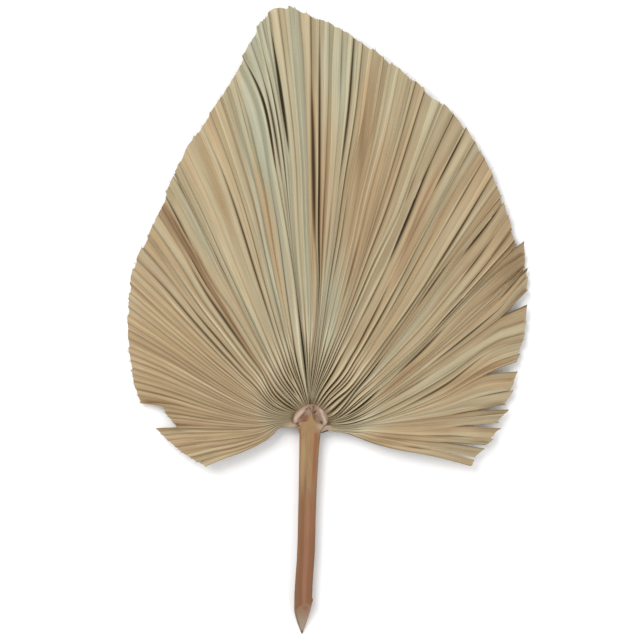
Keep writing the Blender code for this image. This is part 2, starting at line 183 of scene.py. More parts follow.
def creasePoint(u, v):
    # the point at fraction v of the way out along the crease that ends at rim fraction u
    end = rimPoint(u)
    angle = np.degrees(np.arctan2(end[..., 1], end[..., 0])) % 360
    angle = np.where(angle > 270, angle - 360, angle)
    turn = angle - 90
    left = turn > 0
    size = np.abs(turn)
    most = np.where(left, *fan["startTurn"])
    crowding = np.where(left, *fan["crowding"])
    margin = np.where(left, *fan["marginTurn"])
    start = most * (1 - np.exp(-size / crowding))
    start = start + margin * smooth((size - fan["marginFrom"]) / fan["marginOver"])
    a = np.radians(90 + np.sign(turn) * start)
    hub = np.stack([fan["hubHalfWidth"] * np.cos(a), fan["hubHalfLength"] * np.sin(a)], -1)
    rise, fall = fan["bowRise"], fan["bowFall"]
    peak = rise / (rise + fall)
    share = v ** rise * np.clip(1 - v, 0, 1) ** fall / (peak ** rise * (1 - peak) ** fall)
    bow = np.where(left, *fan["bow"]) * np.sin(np.pi * turn / fan["bowRange"]) * share
    along = end - hub
    along /= np.linalg.norm(along, axis=-1, keepdims=True)
    sideways = np.stack([-along[..., 1], along[..., 0]], -1)
    return hub + (end - hub) * v[..., None] + sideways * bow[..., None]


# Blade: one papery sheet. Python lays it out ironed flat, Geometry Nodes fold it.

blade = {
    "seed": 5,
    "columnsPerPleat": 6,
    "rows": 72,
    "rowCrowding": 0.45,           # how much closer together the rows lie towards the hub
    "pleatWidth": [
        (0.0, 0.0088), (0.08, 0.0070), (0.20, 0.0068), (0.25, 0.0124),
        (0.42, 0.0124), (0.46, 0.0102), (0.60, 0.0118), (1.0, 0.0112),
    ],
    "widthSpread": 0.45,
    "ridgeSpread": 0.20,
    "ridgeMost": 0.84,             # the furthest that a ridge lies across its pleat
    "lopsided": [(0.50, 0.0), (0.58, 0.20), (0.86, 0.20), (0.94, 0.05)],   # how far ridges lie off the middle
    "evenHues": [(0.17, 1.0), (0.24, 0.0), (0.50, 0.0), (0.58, 0.70)],     # 1 where the facets are alike
    "regularUpTo": (0.17, 0.24),   # the left third is evener than the rest and fades out over these fractions
    "evenness": 0.75,              # how even it is there
    "evenCrease": 1.1,             # the depth and the darkness that its valleys come near
    "evenLine": 0.55,
    "creaseSpread": (0.10, 1.80),  # how deep the single valleys are, least and most; above 1 they are pinched
    "slope": [
        (0.0, 0.85), (0.19, 0.90), (0.24, 1.15), (0.48, 1.30),
        (0.66, 1.20), (0.80, 1.00), (0.93, 0.78), (1.0, 0.75),
    ],
    "turnOver": (-0.55, 0.25),     # the folds' slope further out as a share of the table's, and from where
    "fusedOver": [(0.0, 0.24), (0.18, 0.20), (0.24, 0.03), (0.78, 0.03), (0.86, 0.14), (1.0, 0.24)],
    "trimFrom": 0.6,               # the cut and the frays only move the sheet beyond this share of the crease
    "rimCut": 0.0052,              # how far the cut wanders from pleat to pleat, as a share of the crease
    "rimFray": 0.0018,
    "splitPull": 24,               # the columns beside a split that give way for it
    "lineDepth": 0.9 * mm,         # how deep an ordinary valley is pinched
    "lineShade": (0.05, 0.85),     # how dark the line along a valley is, least and most
    "lineBoost": [(0.38, 1.0), (0.42, 1.25), (0.58, 1.30), (0.90, 1.30), (1.0, 1.0)],
    "slitOpening": 0.4,            # how far the folds beside a slit give way, as a share of its width
    "slitDepth": (0.9, 1.3),       # mm, for any slit and more for each mm of its width
    "slitDark": (0.11, 0.34),      # the same for the half width of its dark line of painted shade
    "mostTint": 1.6,               # where tints overlap
    "thickness": 0.40 * mm,
    "sharpFrom": 28,               # degrees
    "hubHeight": 8.8 * mm,
    "rise": 7.6 * mm,
    "riseOver": 100 * mm,
    "droop": (16.4 * mm, 14.4 * mm),
    "middleX": 11.5 * mm,
    "sideReach": 145 * mm,
    "tipDroop": 5.0 * mm,
    "tipDroopAt": 300 * mm,
    "wave": 1.0 * mm,
    "waves": 4.0,
    "material": "driedPalmBlade",
}

# rim fraction, where the split starts, gap at the rim in mm, how far the blade reaches left and right of it
splits = [
    (0.0070, 0.94, 1.2, 0.995, 1.000),
    (0.0565, 0.82, 0.6, 1.000, 0.845),
    (0.0830, 0.80, 0.6, 0.850, 1.000),
    (0.2817, 0.94, 0.4, 0.985, 1.000),
    (0.2977, 0.90, 1.2, 1.000, 1.000),
    (0.6770, 0.88, 0.4, 1.000, 1.000),
    (0.7900, 0.94, 3.0, 0.975, 1.015),
    (0.8150, 0.94, 2.0, 0.985, 1.010),
    (0.8400, 0.87, 11.0, 1.000, 1.000),
    (0.8800, 0.84, 0.8, 1.000, 1.000),
    (0.9030, 0.80, 8.5, 0.985, 1.010),
    (0.9250, 0.84, 1.0, 0.985, 1.010),
    (0.9400, 0.80, 5.5, 0.980, 1.015),
    (0.9580, 0.76, 5.0, 0.985, 1.015),
    (0.9710, 0.74, 1.2, 0.990, 1.010),
    (0.9800, 0.70, 3.8, 0.990, 1.005),
    (0.9920, 0.68, 2.6, 0.985, 1.000),
]

# how the main folds wander on their way in: rim fraction, then how far aside they lie at each of these
# shares of the way out, in thousandths of the rim
wanderAt = (0.0, 0.1, 0.2, 0.3, 0.45, 0.6, 0.8, 1.0)
wander = [
    (0.0000, 0, 50, 31, 15, 4, 0, 0, 0),
    (0.0475, 5, 28, 13, 8, 4, 1, 0, 0),
    (0.0870, 8, 13, 2, 0, -1, -1, 0, 0),
    (0.1400, -5, -5, 0, 0, 0, 0, 0, 0),
    (0.1920, -17, -17, -2, 0, -2, -3, -3, 0),
    (0.2155, -25, -25, -2, 0, 0, -1, 0, 0),
    (0.2620, -22, -22, 1, 1, -2, -5, -2, 0),
    (0.2790, 22, 5, 6, 6, 2, -5, -4, 0),
    (0.3000, 36, 8, 7, 6, 3, 0, 0, 0),
    (0.3480, 58, 18, 13, 12, 10, 9, 6, 0),
    (0.3995, 52, 25, 17, 14, 13, 13, 5, 0),
    (0.4100, 52, 15, 18, 22, 25, 22, 18, 0),
    (0.4185, 62, 60, 54, 49, 41, 33, 25, 0),
    (0.4480, 37, 33, 27, 23, 20, 19, 12, 0),
    (0.4640, 25, 20, 14, 10, 9, 11, 6, 0),
    (0.5050, -12, 0, 13, 14, 7, 4, 1, 0),
    (0.5360, -39, -14, -7, -4, 0, 2, 3, 0),
    (0.5680, -66, -38, -27, -20, -11, -7, 0, 0),
    (0.6000, -91, -55, -30, -18, -8, -4, 1, 0),
    (0.6435, -124, -73, -48, -34, -19, -6, -2, 0),
    (0.6600, -128, -70, -42, -27, -13, -7, -4, 0),
    (0.6780, -126, -53, -31, -21, -13, -8, -3, 0),
    (0.7000, -110, -45, -28, -18, -9, -5, -1, 0),
    (0.7240, -92, -29, -19, -12, -2, 2, 3, 0),
    (0.7445, 20, -15, -15, -13, -11, -8, -3, 0),
    (0.7620, 20, -17, -12, -6, 3, 6, 5, 0),
    (0.7750, 18, -23, -17, -8, 4, 6, 5, 0),
    (0.8000, 18, 7, -3, -3, -1, -1, -1, 0),
    (0.8265, 24, 20, 8, 6, 8, 10, 8, 0),
    (0.8570, 10, 10, 0, -6, -5, -3, -1, 0),
    (0.8820, 16, 16, 16, 15, 13, 9, -5, 0),
    (0.9395, -8, -18, -25, -18, -8, -2, 0, 0),
    (0.9700, -6, -24, -28, -19, -9, -3, 0, 0),
    (0.9900, -2, -32, -29, -16, -5, -1, 0, 0),
    (1.0000, 0, -36, -24, -11, -2, 0, 0, 0),
]

# slits where the folds dried apart, deep and dark with painted shade: rim fraction, from, to, width in mm
slits = [
    (0.192, 0.25, 0.6, 0.2), (0.2155, 0.15, 1.05, 0.7), (0.2275, 0.2, 0.76, 0.8),
    (0.239, 0.32, 0.92, 0.4), (0.262, 0.2, 0.8, 0.8), (0.269, 0.58, 0.8, 0.4), (0.279, 0.74, 1.05, 0.7),
    (0.3, 0.5, 0.74, 0.3), (0.337, 0.4, 0.72, 0.2), (0.348, 0.12, 0.95, 0.8), (0.387, 0.4, 0.7, 0.2),
    (0.3995, 0.72, 1.05, 0.4), (0.41, 0.1, 0.62, 0.4), (0.4185, 0.6, 0.98, 2.4), (0.4185, 0.02, 0.3, 0.7),
    (0.434, 0.56, 0.9, 0.9), (0.448, 0.5, 1.0, 0.6), (0.456, 0.88, 1.05, 0.4), (0.464, 0.62, 0.98, 2.0),
    (0.505, 0.4, 0.86, 1.3), (0.5135, 0.25, 0.98, 1.1), (0.523, 0.32, 0.62, 0.4),
    (0.536, 0.78, 1.05, 0.4), (0.536, 0.3, 0.6, 0.3), (0.548, 0.58, 1.1, 1.0), (0.568, 0.3, 0.62, 0.5),
    (0.597, 0.28, 0.52, 0.4), (0.6435, 0.12, 0.64, 0.5), (0.648, 0.66, 0.8, 0.4), (0.66, 0.48, 0.85, 1.5),
    (0.66, 0.25, 0.5, 0.5), (0.677, 0.76, 1.02, 1.2), (0.677, 0.12, 0.48, 0.8), (0.6905, 0.86, 1.05, 0.4),
    (0.6905, 0.15, 0.5, 0.6), (0.7, 0.28, 0.75, 0.6), (0.7075, 0.7, 1.05, 0.6), (0.724, 0.55, 1.05, 0.9),
    (0.724, 0.36, 0.54, 0.4), (0.7445, 0.08, 0.3, 0.6), (0.7445, 0.46, 0.72, 0.7),
    (0.75, 0.74, 0.98, 1.5), (0.762, 0.68, 0.92, 0.9), (0.775, 0.58, 1.05, 0.8), (0.785, 0.5, 0.74, 0.6),
    (0.8, 0.28, 0.6, 0.8), (0.8, 0.08, 0.24, 0.7), (0.811, 0.88, 0.99, 0.9), (0.819, 0.84, 0.98, 0.9),
    (0.8265, 0.45, 0.95, 0.9), (0.857, 0.22, 0.55, 0.5), (0.88, 0.36, 0.84, 0.8),
    (0.925, 0.78, 1.02, 0.5), (0.94, 0.68, 0.86, 0.5), (0.958, 0.7, 0.86, 0.4), (0.971, 0.56, 0.9, 0.6),
    (0.992, 0.46, 0.74, 0.5),
]

# stretches that dried to another tint, the brown ones partly painted shade of facets in shadow: rim fraction,
# half its width, middle of the way out, half its length and how green-grey (above 0) or brown (below 0)
tints = [
    (0.1, 0.12, 0.6, 0.7, -0.6), (0.1, 0.08, 0.08, 0.12, 0.9), (0.29, 0.012, 0.8, 0.22, 0.65),
    (0.269, 0.007, 0.65, 0.5, -1.6), (0.318, 0.008, 0.3, 0.14, 0.5), (0.339, 0.005, 0.76, 0.2, -0.7),
    (0.365, 0.006, 0.3, 0.14, 0.6), (0.397, 0.006, 0.65, 0.34, 0.65), (0.391, 0.005, 0.55, 0.18, -0.8),
    (0.406, 0.007, 0.52, 0.26, -0.8), (0.414, 0.008, 0.86, 0.14, 0.9), (0.425, 0.01, 0.72, 0.14, 0.85),
    (0.441, 0.012, 0.84, 0.26, 0.9), (0.42, 0.008, 0.46, 0.18, -0.9), (0.485, 0.018, 0.45, 0.34, 0.65),
    (0.47, 0.05, 0.9, 0.22, 0.6), (0.6, 0.09, 0.97, 0.16, 0.35), (0.54, 0.045, 0.28, 0.14, 0.7),
    (0.384, 0.006, 0.34, 0.22, 0.75), (0.44, 0.006, 0.36, 0.26, 0.8), (0.77, 0.05, 0.95, 0.14, -0.45),
    (0.34, 0.08, 0.55, 0.55, 0.35), (0.509, 0.004, 0.62, 0.42, -1.15), (0.447, 0.004, 0.8, 0.2, -0.9),
    (0.524, 0.01, 0.48, 0.2, -0.85), (0.528, 0.01, 0.9, 0.16, 0.6), (0.543, 0.006, 0.85, 0.16, 0.75),
    (0.57, 0.005, 0.82, 0.18, -0.75), (0.56, 0.014, 0.2, 0.12, 0.5), (0.59, 0.03, 0.56, 0.22, -0.55),
    (0.669, 0.007, 0.62, 0.18, -0.85), (0.684, 0.006, 0.78, 0.12, 0.7), (0.695, 0.006, 0.72, 0.18, -0.65),
    (0.712, 0.012, 0.68, 0.26, 0.35), (0.756, 0.008, 0.72, 0.16, -0.6), (0.786, 0.012, 0.3, 0.18, 0.25),
    (0.812, 0.012, 0.34, 0.12, -0.8), (0.868, 0.012, 0.55, 0.2, 0.4), (0.893, 0.012, 0.72, 0.18, -0.9),
    (0.92, 0.07, 0.14, 0.16, 0.6), (0.44, 0.08, 0.6, 0.6, 0.35), (0.96, 0.03, 0.5, 0.3, -0.45),
    (0.985, 0.02, 0.3, 0.24, -0.55),
]

# places beside the hub: x, y, half width and half height in mm, 1 for bare papery skin or -1 for brown
# painted shade
patches = [
    (-14.5, -5.2, 4.5, 1.8, 1), (12.5, -7.2, 3.0, 1.6, 1), (-13.5, -1.9, 1.0, 0.8, -1),
    (12.5, -3.6, 1.5, 0.9, -1), (12.9, -0.8, 0.9, 1.6, -1),
]


def bladeHeight(place):
    # the sheet's height with its pleats ironed out
    x, y = place[..., 0], place[..., 1]
    far = np.hypot(x, y)
    lift = smooth(far / blade["riseOver"])
    aside = (x - blade["middleX"]) / blade["sideReach"]
    droop = np.where(aside < 0, *blade["droop"]) * aside ** 2
    tip = blade["tipDroop"] * np.clip(y / blade["tipDroopAt"], 0, None) ** 3
    wave = blade["wave"] * np.sin(blade["waves"] * np.arctan2(y, x)) * lift
    return blade["hubHeight"] + blade["rise"] * lift - droop - tip + wave


def readOff(table, place):
    return np.interp(place, [row[0] for row in table], [row[1] for row in table])


def regularity(u):
    return np.interp(u, blade["regularUpTo"], (1.0, 0.0))


def bladeColumns():
    # the folds from left to right: (rim fraction, pleat number, side of a split)
    random.seed(blade["seed"])
    fixed = sorted({0.0, 1.0, *(s[0] for s in splits), *(g[0] for g in slits)})
    count = blade["columnsPerPleat"]
    splitAt = {s[0] for s in splits}
    columns, pleat = [], 0
    for start, end in zip(fixed, fixed[1:]):
        number = max(1, round((end - start) / readOff(blade["pleatWidth"], (start + end) / 2)))
        spread = blade["widthSpread"] * (1 - blade["evenness"] * regularity(start))
        widths = [random.uniform(1 - spread, 1 + spread) for _ in range(number)]
        edges = start + (end - start) * np.cumsum([0, *widths]) / sum(widths)
        edges[-1] = end
        for left, right in zip(edges, edges[1:]):
            ridge = random.uniform(0.5 - blade["ridgeSpread"], 0.5 + blade["ridgeSpread"])
            ridge = min(ridge + readOff(blade["lopsided"], left), blade["ridgeMost"])
            for step in range(count):
                f = step / count
                share = f * 2 * ridge if f < 0.5 else ridge + (f - 0.5) * 2 * (1 - ridge)
                columns.append((left + (right - left) * share, pleat + f, 1 if step == 0 else 0))
            pleat += 1
        if end in splitAt:
            columns.append((end, pleat, -1))
    columns.append((1.0, pleat, 0))
    return columns, pleat


def bladeReach(u, side):
    before = [s for s in splits if s[0] < u - 1e-9 or (abs(s[0] - u) < 1e-9 and side > 0)]
    after = [s for s in splits if s[0] > u + 1e-9 or (abs(s[0] - u) < 1e-9 and side < 0)]
    left, low = (before[-1][0], before[-1][4]) if before else (0.0, 1.0)
    right, high = (after[0][0], after[0][3]) if after else (1.0, 1.0)
    return low + (high - low) * (u - left) / (right - left)


def wandered(u, v):
    # the rim fraction that each fold lies over at v, smooth along the fold
    guides = np.array(wander, float)
    knots = np.array(wanderAt)
    ends, asides = guides[:, 0], 0.001 * guides[:, 1:]
    at = np.array([np.interp(u, ends, ends + asides[:, k]) for k in range(len(knots))])
    rate = np.gradient(at, knots, axis=0)
    k = np.clip(np.searchsorted(knots, v, side="right") - 1, 0, len(knots) - 2)
    column = np.broadcast_to(np.arange(len(u)), v.shape)
    span = knots[k + 1] - knots[k]
    t = np.clip((v - knots[k]) / span, 0, 1)
    a, b = at[k, column], at[k + 1, column]
    ra, rb = rate[k, column] * span, rate[k + 1, column] * span
    path = a + t * ra + t * t * (3 * (b - a) - 2 * ra - rb) + t ** 3 * (2 * (a - b) + ra + rb)
    return np.clip(path, 0, 1)


def lens(v, low, high):
    return np.sin(np.pi * np.clip((v - low) / (high - low), 0, 1)) ** 0.7


def bladeSheet():
    columns, pleats = bladeColumns()
    rng = np.random.default_rng(blade["seed"])
    u = np.array([c[0] for c in columns])
    pleat = np.array([c[1] for c in columns], float)
    rows = np.linspace(0, 1, blade["rows"])
    rows = (1 - blade["rowCrowding"]) * rows + blade["rowCrowding"] * rows ** 2
    cutPerPleat = rng.uniform(-1, 1, pleats + 2) * blade["rimCut"]
    cutLean = rng.uniform(-1, 1, pleats + 2) * blade["rimCut"]
    whole = np.floor(pleat).astype(int)
    reach = np.array([bladeReach(c[0], c[2]) for c in columns])
    reach += cutPerPleat[whole] + cutLean[whole] * (pleat - whole - 0.5)
    reach += rng.uniform(-1, 1, len(u)) * blade["rimFray"]
    rows, trim = rows[:, None], blade["trimFrom"]
    v = np.where(rows < trim, rows, trim + (rows - trim) * (reach - trim) / (1 - trim))

    uHere = wandered(u, v)
    place = creasePoint(uHere, v)
    across = creasePoint(np.clip(uHere + 0.001, 0, 1), v) - creasePoint(np.clip(uHere - 0.001, 0, 1), v)
    across /= np.linalg.norm(across, axis=-1, keepdims=True) + 1e-12
    valleys = np.searchsorted(pleat, np.arange(pleats + 1))
    steps = np.linalg.norm(np.diff(place, axis=1), axis=-1)
    walked = np.concatenate([np.zeros((len(rows), 1)), np.cumsum(steps, axis=1)], axis=1)
    widths = np.diff(walked[:, valleys], axis=1)
    halfWidth = 0.5 * widths[:, np.clip(whole, 0, pleats - 1)]
    halfWidth[:, 1:-1] = (halfWidth[:, :-2] + halfWidth[:, 1:-1] + halfWidth[:, 2:]) / 3

    for splitAt, start, gap, _, _ in splits:
        for column in np.flatnonzero(np.abs(u - splitAt) < 1e-9):
            side = columns[column][2]
            away = (np.arange(len(u)) - column) * side
            pull = np.where(away >= 0, np.clip(1 - away / blade["splitPull"], 0, 1), 0)
            opening = 0.5 * gap * mm * np.clip((v[:, column] - start) / (1 - start), 0, None)
            place += across * (opening[:, None] * pull * side)[..., None]

    # every valley has its own depth, the first of two draws for each pleat
    creases = rng.uniform(*blade["creaseSpread"], 2 * pleats + 2)[::2]
    even = regularity(np.interp(np.arange(len(creases)), pleat, u))
    creases += (blade["evenCrease"] - creases) * blade["evenness"] * even
    depth = np.zeros_like(v)
    for number, column in enumerate(valleys):
        deep = max(creases[number] - 1.0, 0) * (0.6 + 0.4 * np.sin(7 * v[:, column] + 2.4 * number))
        depth[:, column] += deep * blade["lineDepth"] * smooth(v[:, column] / 0.3)

    # the painted shade in each valley: its dark line's strength, and its half width in mm where the folds
    # have dried apart
    lineStrength = rng.uniform(*blade["lineShade"], pleats + 1)
    lineStrength += (blade["evenLine"] - lineStrength) * blade["evenness"] * even
    nearest = np.round(pleat).astype(int)
    line = lineStrength[nearest] * readOff(blade["lineBoost"], u)
    line = line * (0.76 + 0.28 * np.sin(5 * v + 1.7 * nearest))
    slit = np.zeros_like(v)
    for slitAt, low, high, width in slits:
        here = np.flatnonzero(np.abs(u - slitAt) < 1e-9)
        off = pleat - pleat[here[0]]
        shape = lens(v, low, high)
        apart = np.sign(off) * np.clip(1 - np.abs(off), 0, 1) * blade["slitOpening"] * width * mm
        deep, dark = (least + more * width for least, more in (blade["slitDepth"], blade["slitDark"]))
        place += across * (apart * shape)[..., None]
        depth += deep * mm * shape * np.clip(1 - np.abs(off) / 0.55, 0, 1) ** 1.6
        slit = np.maximum(slit, np.where(np.abs(off) < 0.51, dark * shape, 0))

    tint = np.zeros_like(v)
    for at, halfAcross, middle, halfAlong, hue in tints:
        spread = ((uHere - at) / halfAcross) ** 2 + ((v - middle) / halfAlong) ** 2
        tint += hue * np.exp(-spread ** 1.5)

    points = np.dstack([place, bladeHeight(place)])
    number = np.arange(points.shape[0] * points.shape[1]).reshape(v.shape)
    for column in range(1, len(columns)):
        if columns[column - 1][2] == -1:
            start = next(s[1] for s in splits if abs(s[0] - u[column]) < 1e-9)
            joined = v[:, column] <= start
            number[joined, column] = number[joined, column - 1]
    quads = []
    for column in range(len(columns) - 1):
        if columns[column][2] == -1:
            continue
        a, b = number[:, column], number[:, column + 1]
        quads.append(np.stack([a[:-1], b[:-1], b[1:], a[1:]], -1))
    used, quads = np.unique(np.vstack(quads), return_inverse=True)
    quads = quads.reshape(-1, 4)

    def flat(grid):
        return grid.reshape(-1, *grid.shape[2:])[used]

    patch = np.zeros_like(v)
    for x, y, halfX, halfY, kind in patches:
        off = ((place[..., 0] / mm - x) / halfX) ** 2 + ((place[..., 1] / mm - y) / halfY) ** 2
        patch += kind * np.exp(-off)
    outwards = np.gradient(place, axis=0)
    outwards /= np.linalg.norm(outwards, axis=-1, keepdims=True) + 1e-12
    rim = np.zeros_like(v)
    rim[-1] = 1
    free = smooth(0.1 + 0.9 * v / readOff(blade["fusedOver"], u))     # 0 where the pleats are fused
    outer, outerFrom = blade["turnOver"]       # below 0: what stands up beside the hub sinks further out
    slope = readOff(blade["slope"], u) * (0.15 + 0.85 * free) * (1 + (outer - 1) * smooth(v / outerFrom))
    mesh = sheetMesh("blade", flat(points), quads[:, ::-1])
    most, noThird = blade["mostTint"], np.zeros_like(v)
    vectors = {
        "fan": np.dstack([np.broadcast_to(pleat, v.shape), v, slit]),
        "across": np.dstack([across * halfWidth[..., None], noThird]),
        "depths": np.dstack([slope, depth, halfWidth]),
        "tint": np.dstack([np.clip(tint, -most, most), np.clip(patch, -1, 1), rim]),
        "outwards": np.dstack([outwards, noThird]),
        "lines": np.dstack([free, line, np.broadcast_to(readOff(blade["evenHues"], u), v.shape)]),
    }
    storeVectors(mesh, {name: flat(values) for name, values in vectors.items()})
    return mesh


def startTree(name, values):
    # a geometry tree with an input for each value, beside the mesh and its material
    tree = bpy.data.node_groups.new(name, "GeometryNodeTree")
    kinds = {key: "Int" if isinstance(value, int) else "Float" for key, value in values.items()}
    for socket, kind in {"Geometry": "Geometry", **kinds, "Material": "Material"}.items():
        tree.interface.new_socket(socket, in_out="INPUT", socket_type="NodeSocket" + kind)
    tree.interface.new_socket("Geometry", in_out="OUTPUT", socket_type="NodeSocketGeometry")
    return tree, partial(addNode, tree), addNode(tree, "NodeGroupInput").outputs


def endTree(add, geometry, material):
    # turns the instances into real meshes and gives them their material
    real = add("GeometryNodeRealizeInstances", None, [geometry])
    dressed = add("GeometryNodeSetMaterial", None, {"Geometry": real, "Material": material})
    add("NodeGroupOutput", None, [dressed])


folding = {
    "Depth": 1.0,
    "Unevenness": 0.30,
    "Lean": 0.55,
    "Second folds": 0.30,
    "Billow": 1.4 * mm,
    "Hub ridges": 1.5 * mm,        # height of the few strong folds beside the hub
    "Paired up to": 0.62 * mm,     # half a pleat's width where the paired folds begin to part
    "Single from": 1.10 * mm,
    "Vein height": 0.04 * mm,
    "Veins": 10.0,
    "Lowest": 0.45 * mm,
    "Highest": 18.3 * mm,
}


def foldingTree():
    tree, add, given = startTree("foldTheFan", folding)
    fan, depths, lines, across = (
        add("GeometryNodeInputNamedAttribute", {"data_type": "FLOAT_VECTOR"}, {"Name": name})
        for name in ("fan", "depths", "lines", "across")
    )
    pleat, along, _ = add("ShaderNodeSeparateXYZ", None, [fan]).outputs
    slope, pinch, halfWidth = add("ShaderNodeSeparateXYZ", None, [depths]).outputs
    free, _, _ = add("ShaderNodeSeparateXYZ", None, [lines]).outputs     # 0 where the pleats are fused

    def wobble(pleatScale, alongScale, offset, strength):
        # drifts to both sides of 0, from pleat to pleat and along each
        where = add("ShaderNodeCombineXYZ", None, [
            add(*times, [pleat, pleatScale]),
            add(*times, [along, alongScale]),
            offset,
        ])
        noise = add("ShaderNodeTexNoise", None, {"Vector": where, "Scale": 1.0, "Detail": 2.0})
        centred = add(*timesPlus, [noise, 2.0, -1.0])
        return add(*times, [centred, strength])

    def zigzag(pleatsInOne):
        # 0 on the crease between two pleats and 1 on the one in the middle of a pleat
        place = add(*times, [pleat, 1.0 / pleatsInOne])
        half = add(*backAndForth, [place, 0.5])
        return add(*times, [half, 2.0])

    # each comes up from 0 to 1 between two shares of the way out
    nearHub, offHub, midway, outer = (
        add(*comeUp, [along, low, high])
        for low, high in ((0.28, 0.06), (0.15, 0.40), (0.10, 0.50), (0.15, 0.60))
    )

    # where the pleats are narrow, beside the hub, two and two share one fold
    single, double = zigzag(1), zigzag(2)
    gap = add(*minus, [single, double])
    parted = add(*comeUp, [halfWidth, given["Paired up to"], given["Single from"]])
    fold = add(*timesPlus, [gap, parted, double])

    # height of the folds: what the pleat's slope gives, and the strong ridges beside the hub
    size = add(*times, [slope, halfWidth])
    roomy = add("ShaderNodeMapRange", None, [halfWidth, 0.0, given["Paired up to"]])
    near = add(*times, [nearHub, free])
    near = add(*times, [near, roomy])
    tall = add(*timesPlus, [near, given["Hub ridges"], size])
    uneven = add(*timesPlus, [wobble(0.9, 3.0, 3.1, given["Unevenness"]), 2.0, 1.0])
    tall = add(*times, [tall, uneven])
    tall = add(*times, [tall, given["Depth"]])
    middled = add(*minus, [fold, 0.5])
    height = add(*times, [middled, tall])

    # smaller folds along the middle of the wider facets, further out on the blade
    second = add(*minus, [0.5, zigzag(0.5)])
    strength = add(*times, [wobble(1.7, 1.2, 8.4, given["Second folds"]), size])
    strength = add(*times, [strength, outer])
    height = add(*timesPlus, [second, strength, height])

    # several pleats swell or sink together, and fine veins run along them
    swell = add(*times, [wobble(0.24, 2.2, 1.3, given["Billow"]), midway])
    height = add(*timesPlus, [swell, 2.0, height])
    turns = add(*times, [given["Veins"], 2 * math.pi])
    phase = add(*times, [pleat, turns])
    veins = add(*sine, [phase])
    height = add(*timesPlus, [veins, given["Vein height"], height])
    height = add(*minus, [height, pinch])

    # each ridge leans over one of the valleys beside it
    lean = add(*times, [wobble(0.45, 1.6, 5.7, given["Lean"]), offHub])
    lean = add(*times, [lean, single])
    lean = add(*times, [lean, 2.0])
    shift = add(*scaled, {0: across, "Scale": lean})
    lift = add("ShaderNodeCombineXYZ", None, {2: height})
    offset = add("ShaderNodeVectorMath", {"operation": "ADD"}, [shift, lift])
    folded = add("GeometryNodeSetPosition", None, {"Geometry": given["Geometry"], "Offset": offset})

    # nothing dips through the floor, and no ridge stands out of the leaf
    x, y, z = add("ShaderNodeSeparateXYZ", None, [add("GeometryNodeInputPosition")]).outputs
    level = add("ShaderNodeMath", {"operation": "SMOOTH_MIN"}, [z, given["Highest"], 0.8 * mm])
    level = add("ShaderNodeMath", {"operation": "SMOOTH_MAX"}, [level, given["Lowest"], 0.3 * mm])
    rested = add("ShaderNodeCombineXYZ", None, [x, y, level])
    onFloor = add("GeometryNodeSetPosition", None, {"Geometry": folded, "Position": rested})
    kept = add("GeometryNodeStoreNamedAttribute", {"data_type": "FLOAT", "domain": "POINT"}, {
        "Name": "fold", "Geometry": onFloor, "Value": fold})
    endTree(add, kept, given["Material"])
    return tree


fraying = {
    "Share": 0.12,                 # of the rim's points that carry a loose fibre
    "Length": 1.7 * mm,
    "Thickness": 0.15 * mm,
    "Straying": 0.75,
    "Seed": 9,
}


def frayingTree():
    # loose fibres along the cut rim
    tree, add, given = startTree("frayTheRim", fraying)
    tint, outwards = (
        add("GeometryNodeInputNamedAttribute", {"data_type": "FLOAT_VECTOR"}, {"Name": name})
        for name in ("tint", "outwards")
    )
    rim = add("ShaderNodeSeparateXYZ", None, [tint]).outputs[2]
    drawn = add("FunctionNodeRandomValue", {"data_type": "BOOLEAN"}, {
        "Probability": given["Share"], "Seed": given["Seed"]})
    onRim = add(*times, [rim, drawn])
    roots = add("GeometryNodeMeshToPoints", None, {"Mesh": given["Geometry"], "Selection": onRim})
    stray = add("FunctionNodeRandomValue", {"data_type": "FLOAT_VECTOR"}, {
        "Min": (-1, -1, -0.1), "Max": (1, 1, 0.1), "Seed": given["Seed"]})
    strayed = add(*scaled, {0: stray, "Scale": given["Straying"]})
    way = add("ShaderNodeVectorMath", {"operation": "ADD"}, [outwards, strayed])
    turned = add("FunctionNodeAlignRotationToVector", {"axis": "Z"}, {"Vector": way})
    fibre = add("GeometryNodeMeshCone", {"fill_type": "NGON"}, {
        "Vertices": 5,
        "Radius Top": 0.02 * mm,
        "Radius Bottom": given["Thickness"],
        "Depth": given["Length"],
    })
    lengths = add("FunctionNodeRandomValue", {"data_type": "FLOAT"}, {2: 0.5, 3: 1.7, "Seed": given["Seed"]})
    scale = add("ShaderNodeCombineXYZ", None, [1.0, 1.0, lengths])
    fibres = add("GeometryNodeInstanceOnPoints", None, {
        "Points": roots, "Instance": fibre, "Rotation": turned, "Scale": scale})
    endTree(add, fibres, given["Material"])
    return tree


def applyTree(piece, tree, values):
    # sets a tree's inputs by their identifiers, then turns the result into a plain mesh
    modifier = piece.modifiers.new(tree.name, "NODES")
    modifier.node_group = tree
    for item in tree.interface.items_tree:
        if item.in_out == "INPUT" and item.name in values:
            modifier[item.identifier] = values[item.name]
    bakeModifiers(piece)


def makeBlade(material, fibreMaterial):
    piece = newPiece("pleated_blade", bladeSheet())
    applyTree(piece, foldingTree(), {**folding, "Material": material})
    fibres = newPiece("rim_fibres", piece.data.copy())
    applyTree(fibres, frayingTree(), {**fraying, "Material": fibreMaterial})
    dress(fibres, "blade")
    thicken(piece, blade["thickness"], blade["sharpFrom"])
    dress(piece, "blade")
    print("blade", len(piece.data.polygons), "faces,", len(fibres.data.polygons), "in its loose fibres")


# Petiole: the whittled stem, the hub with its two papery lobes, and the costa under the blade

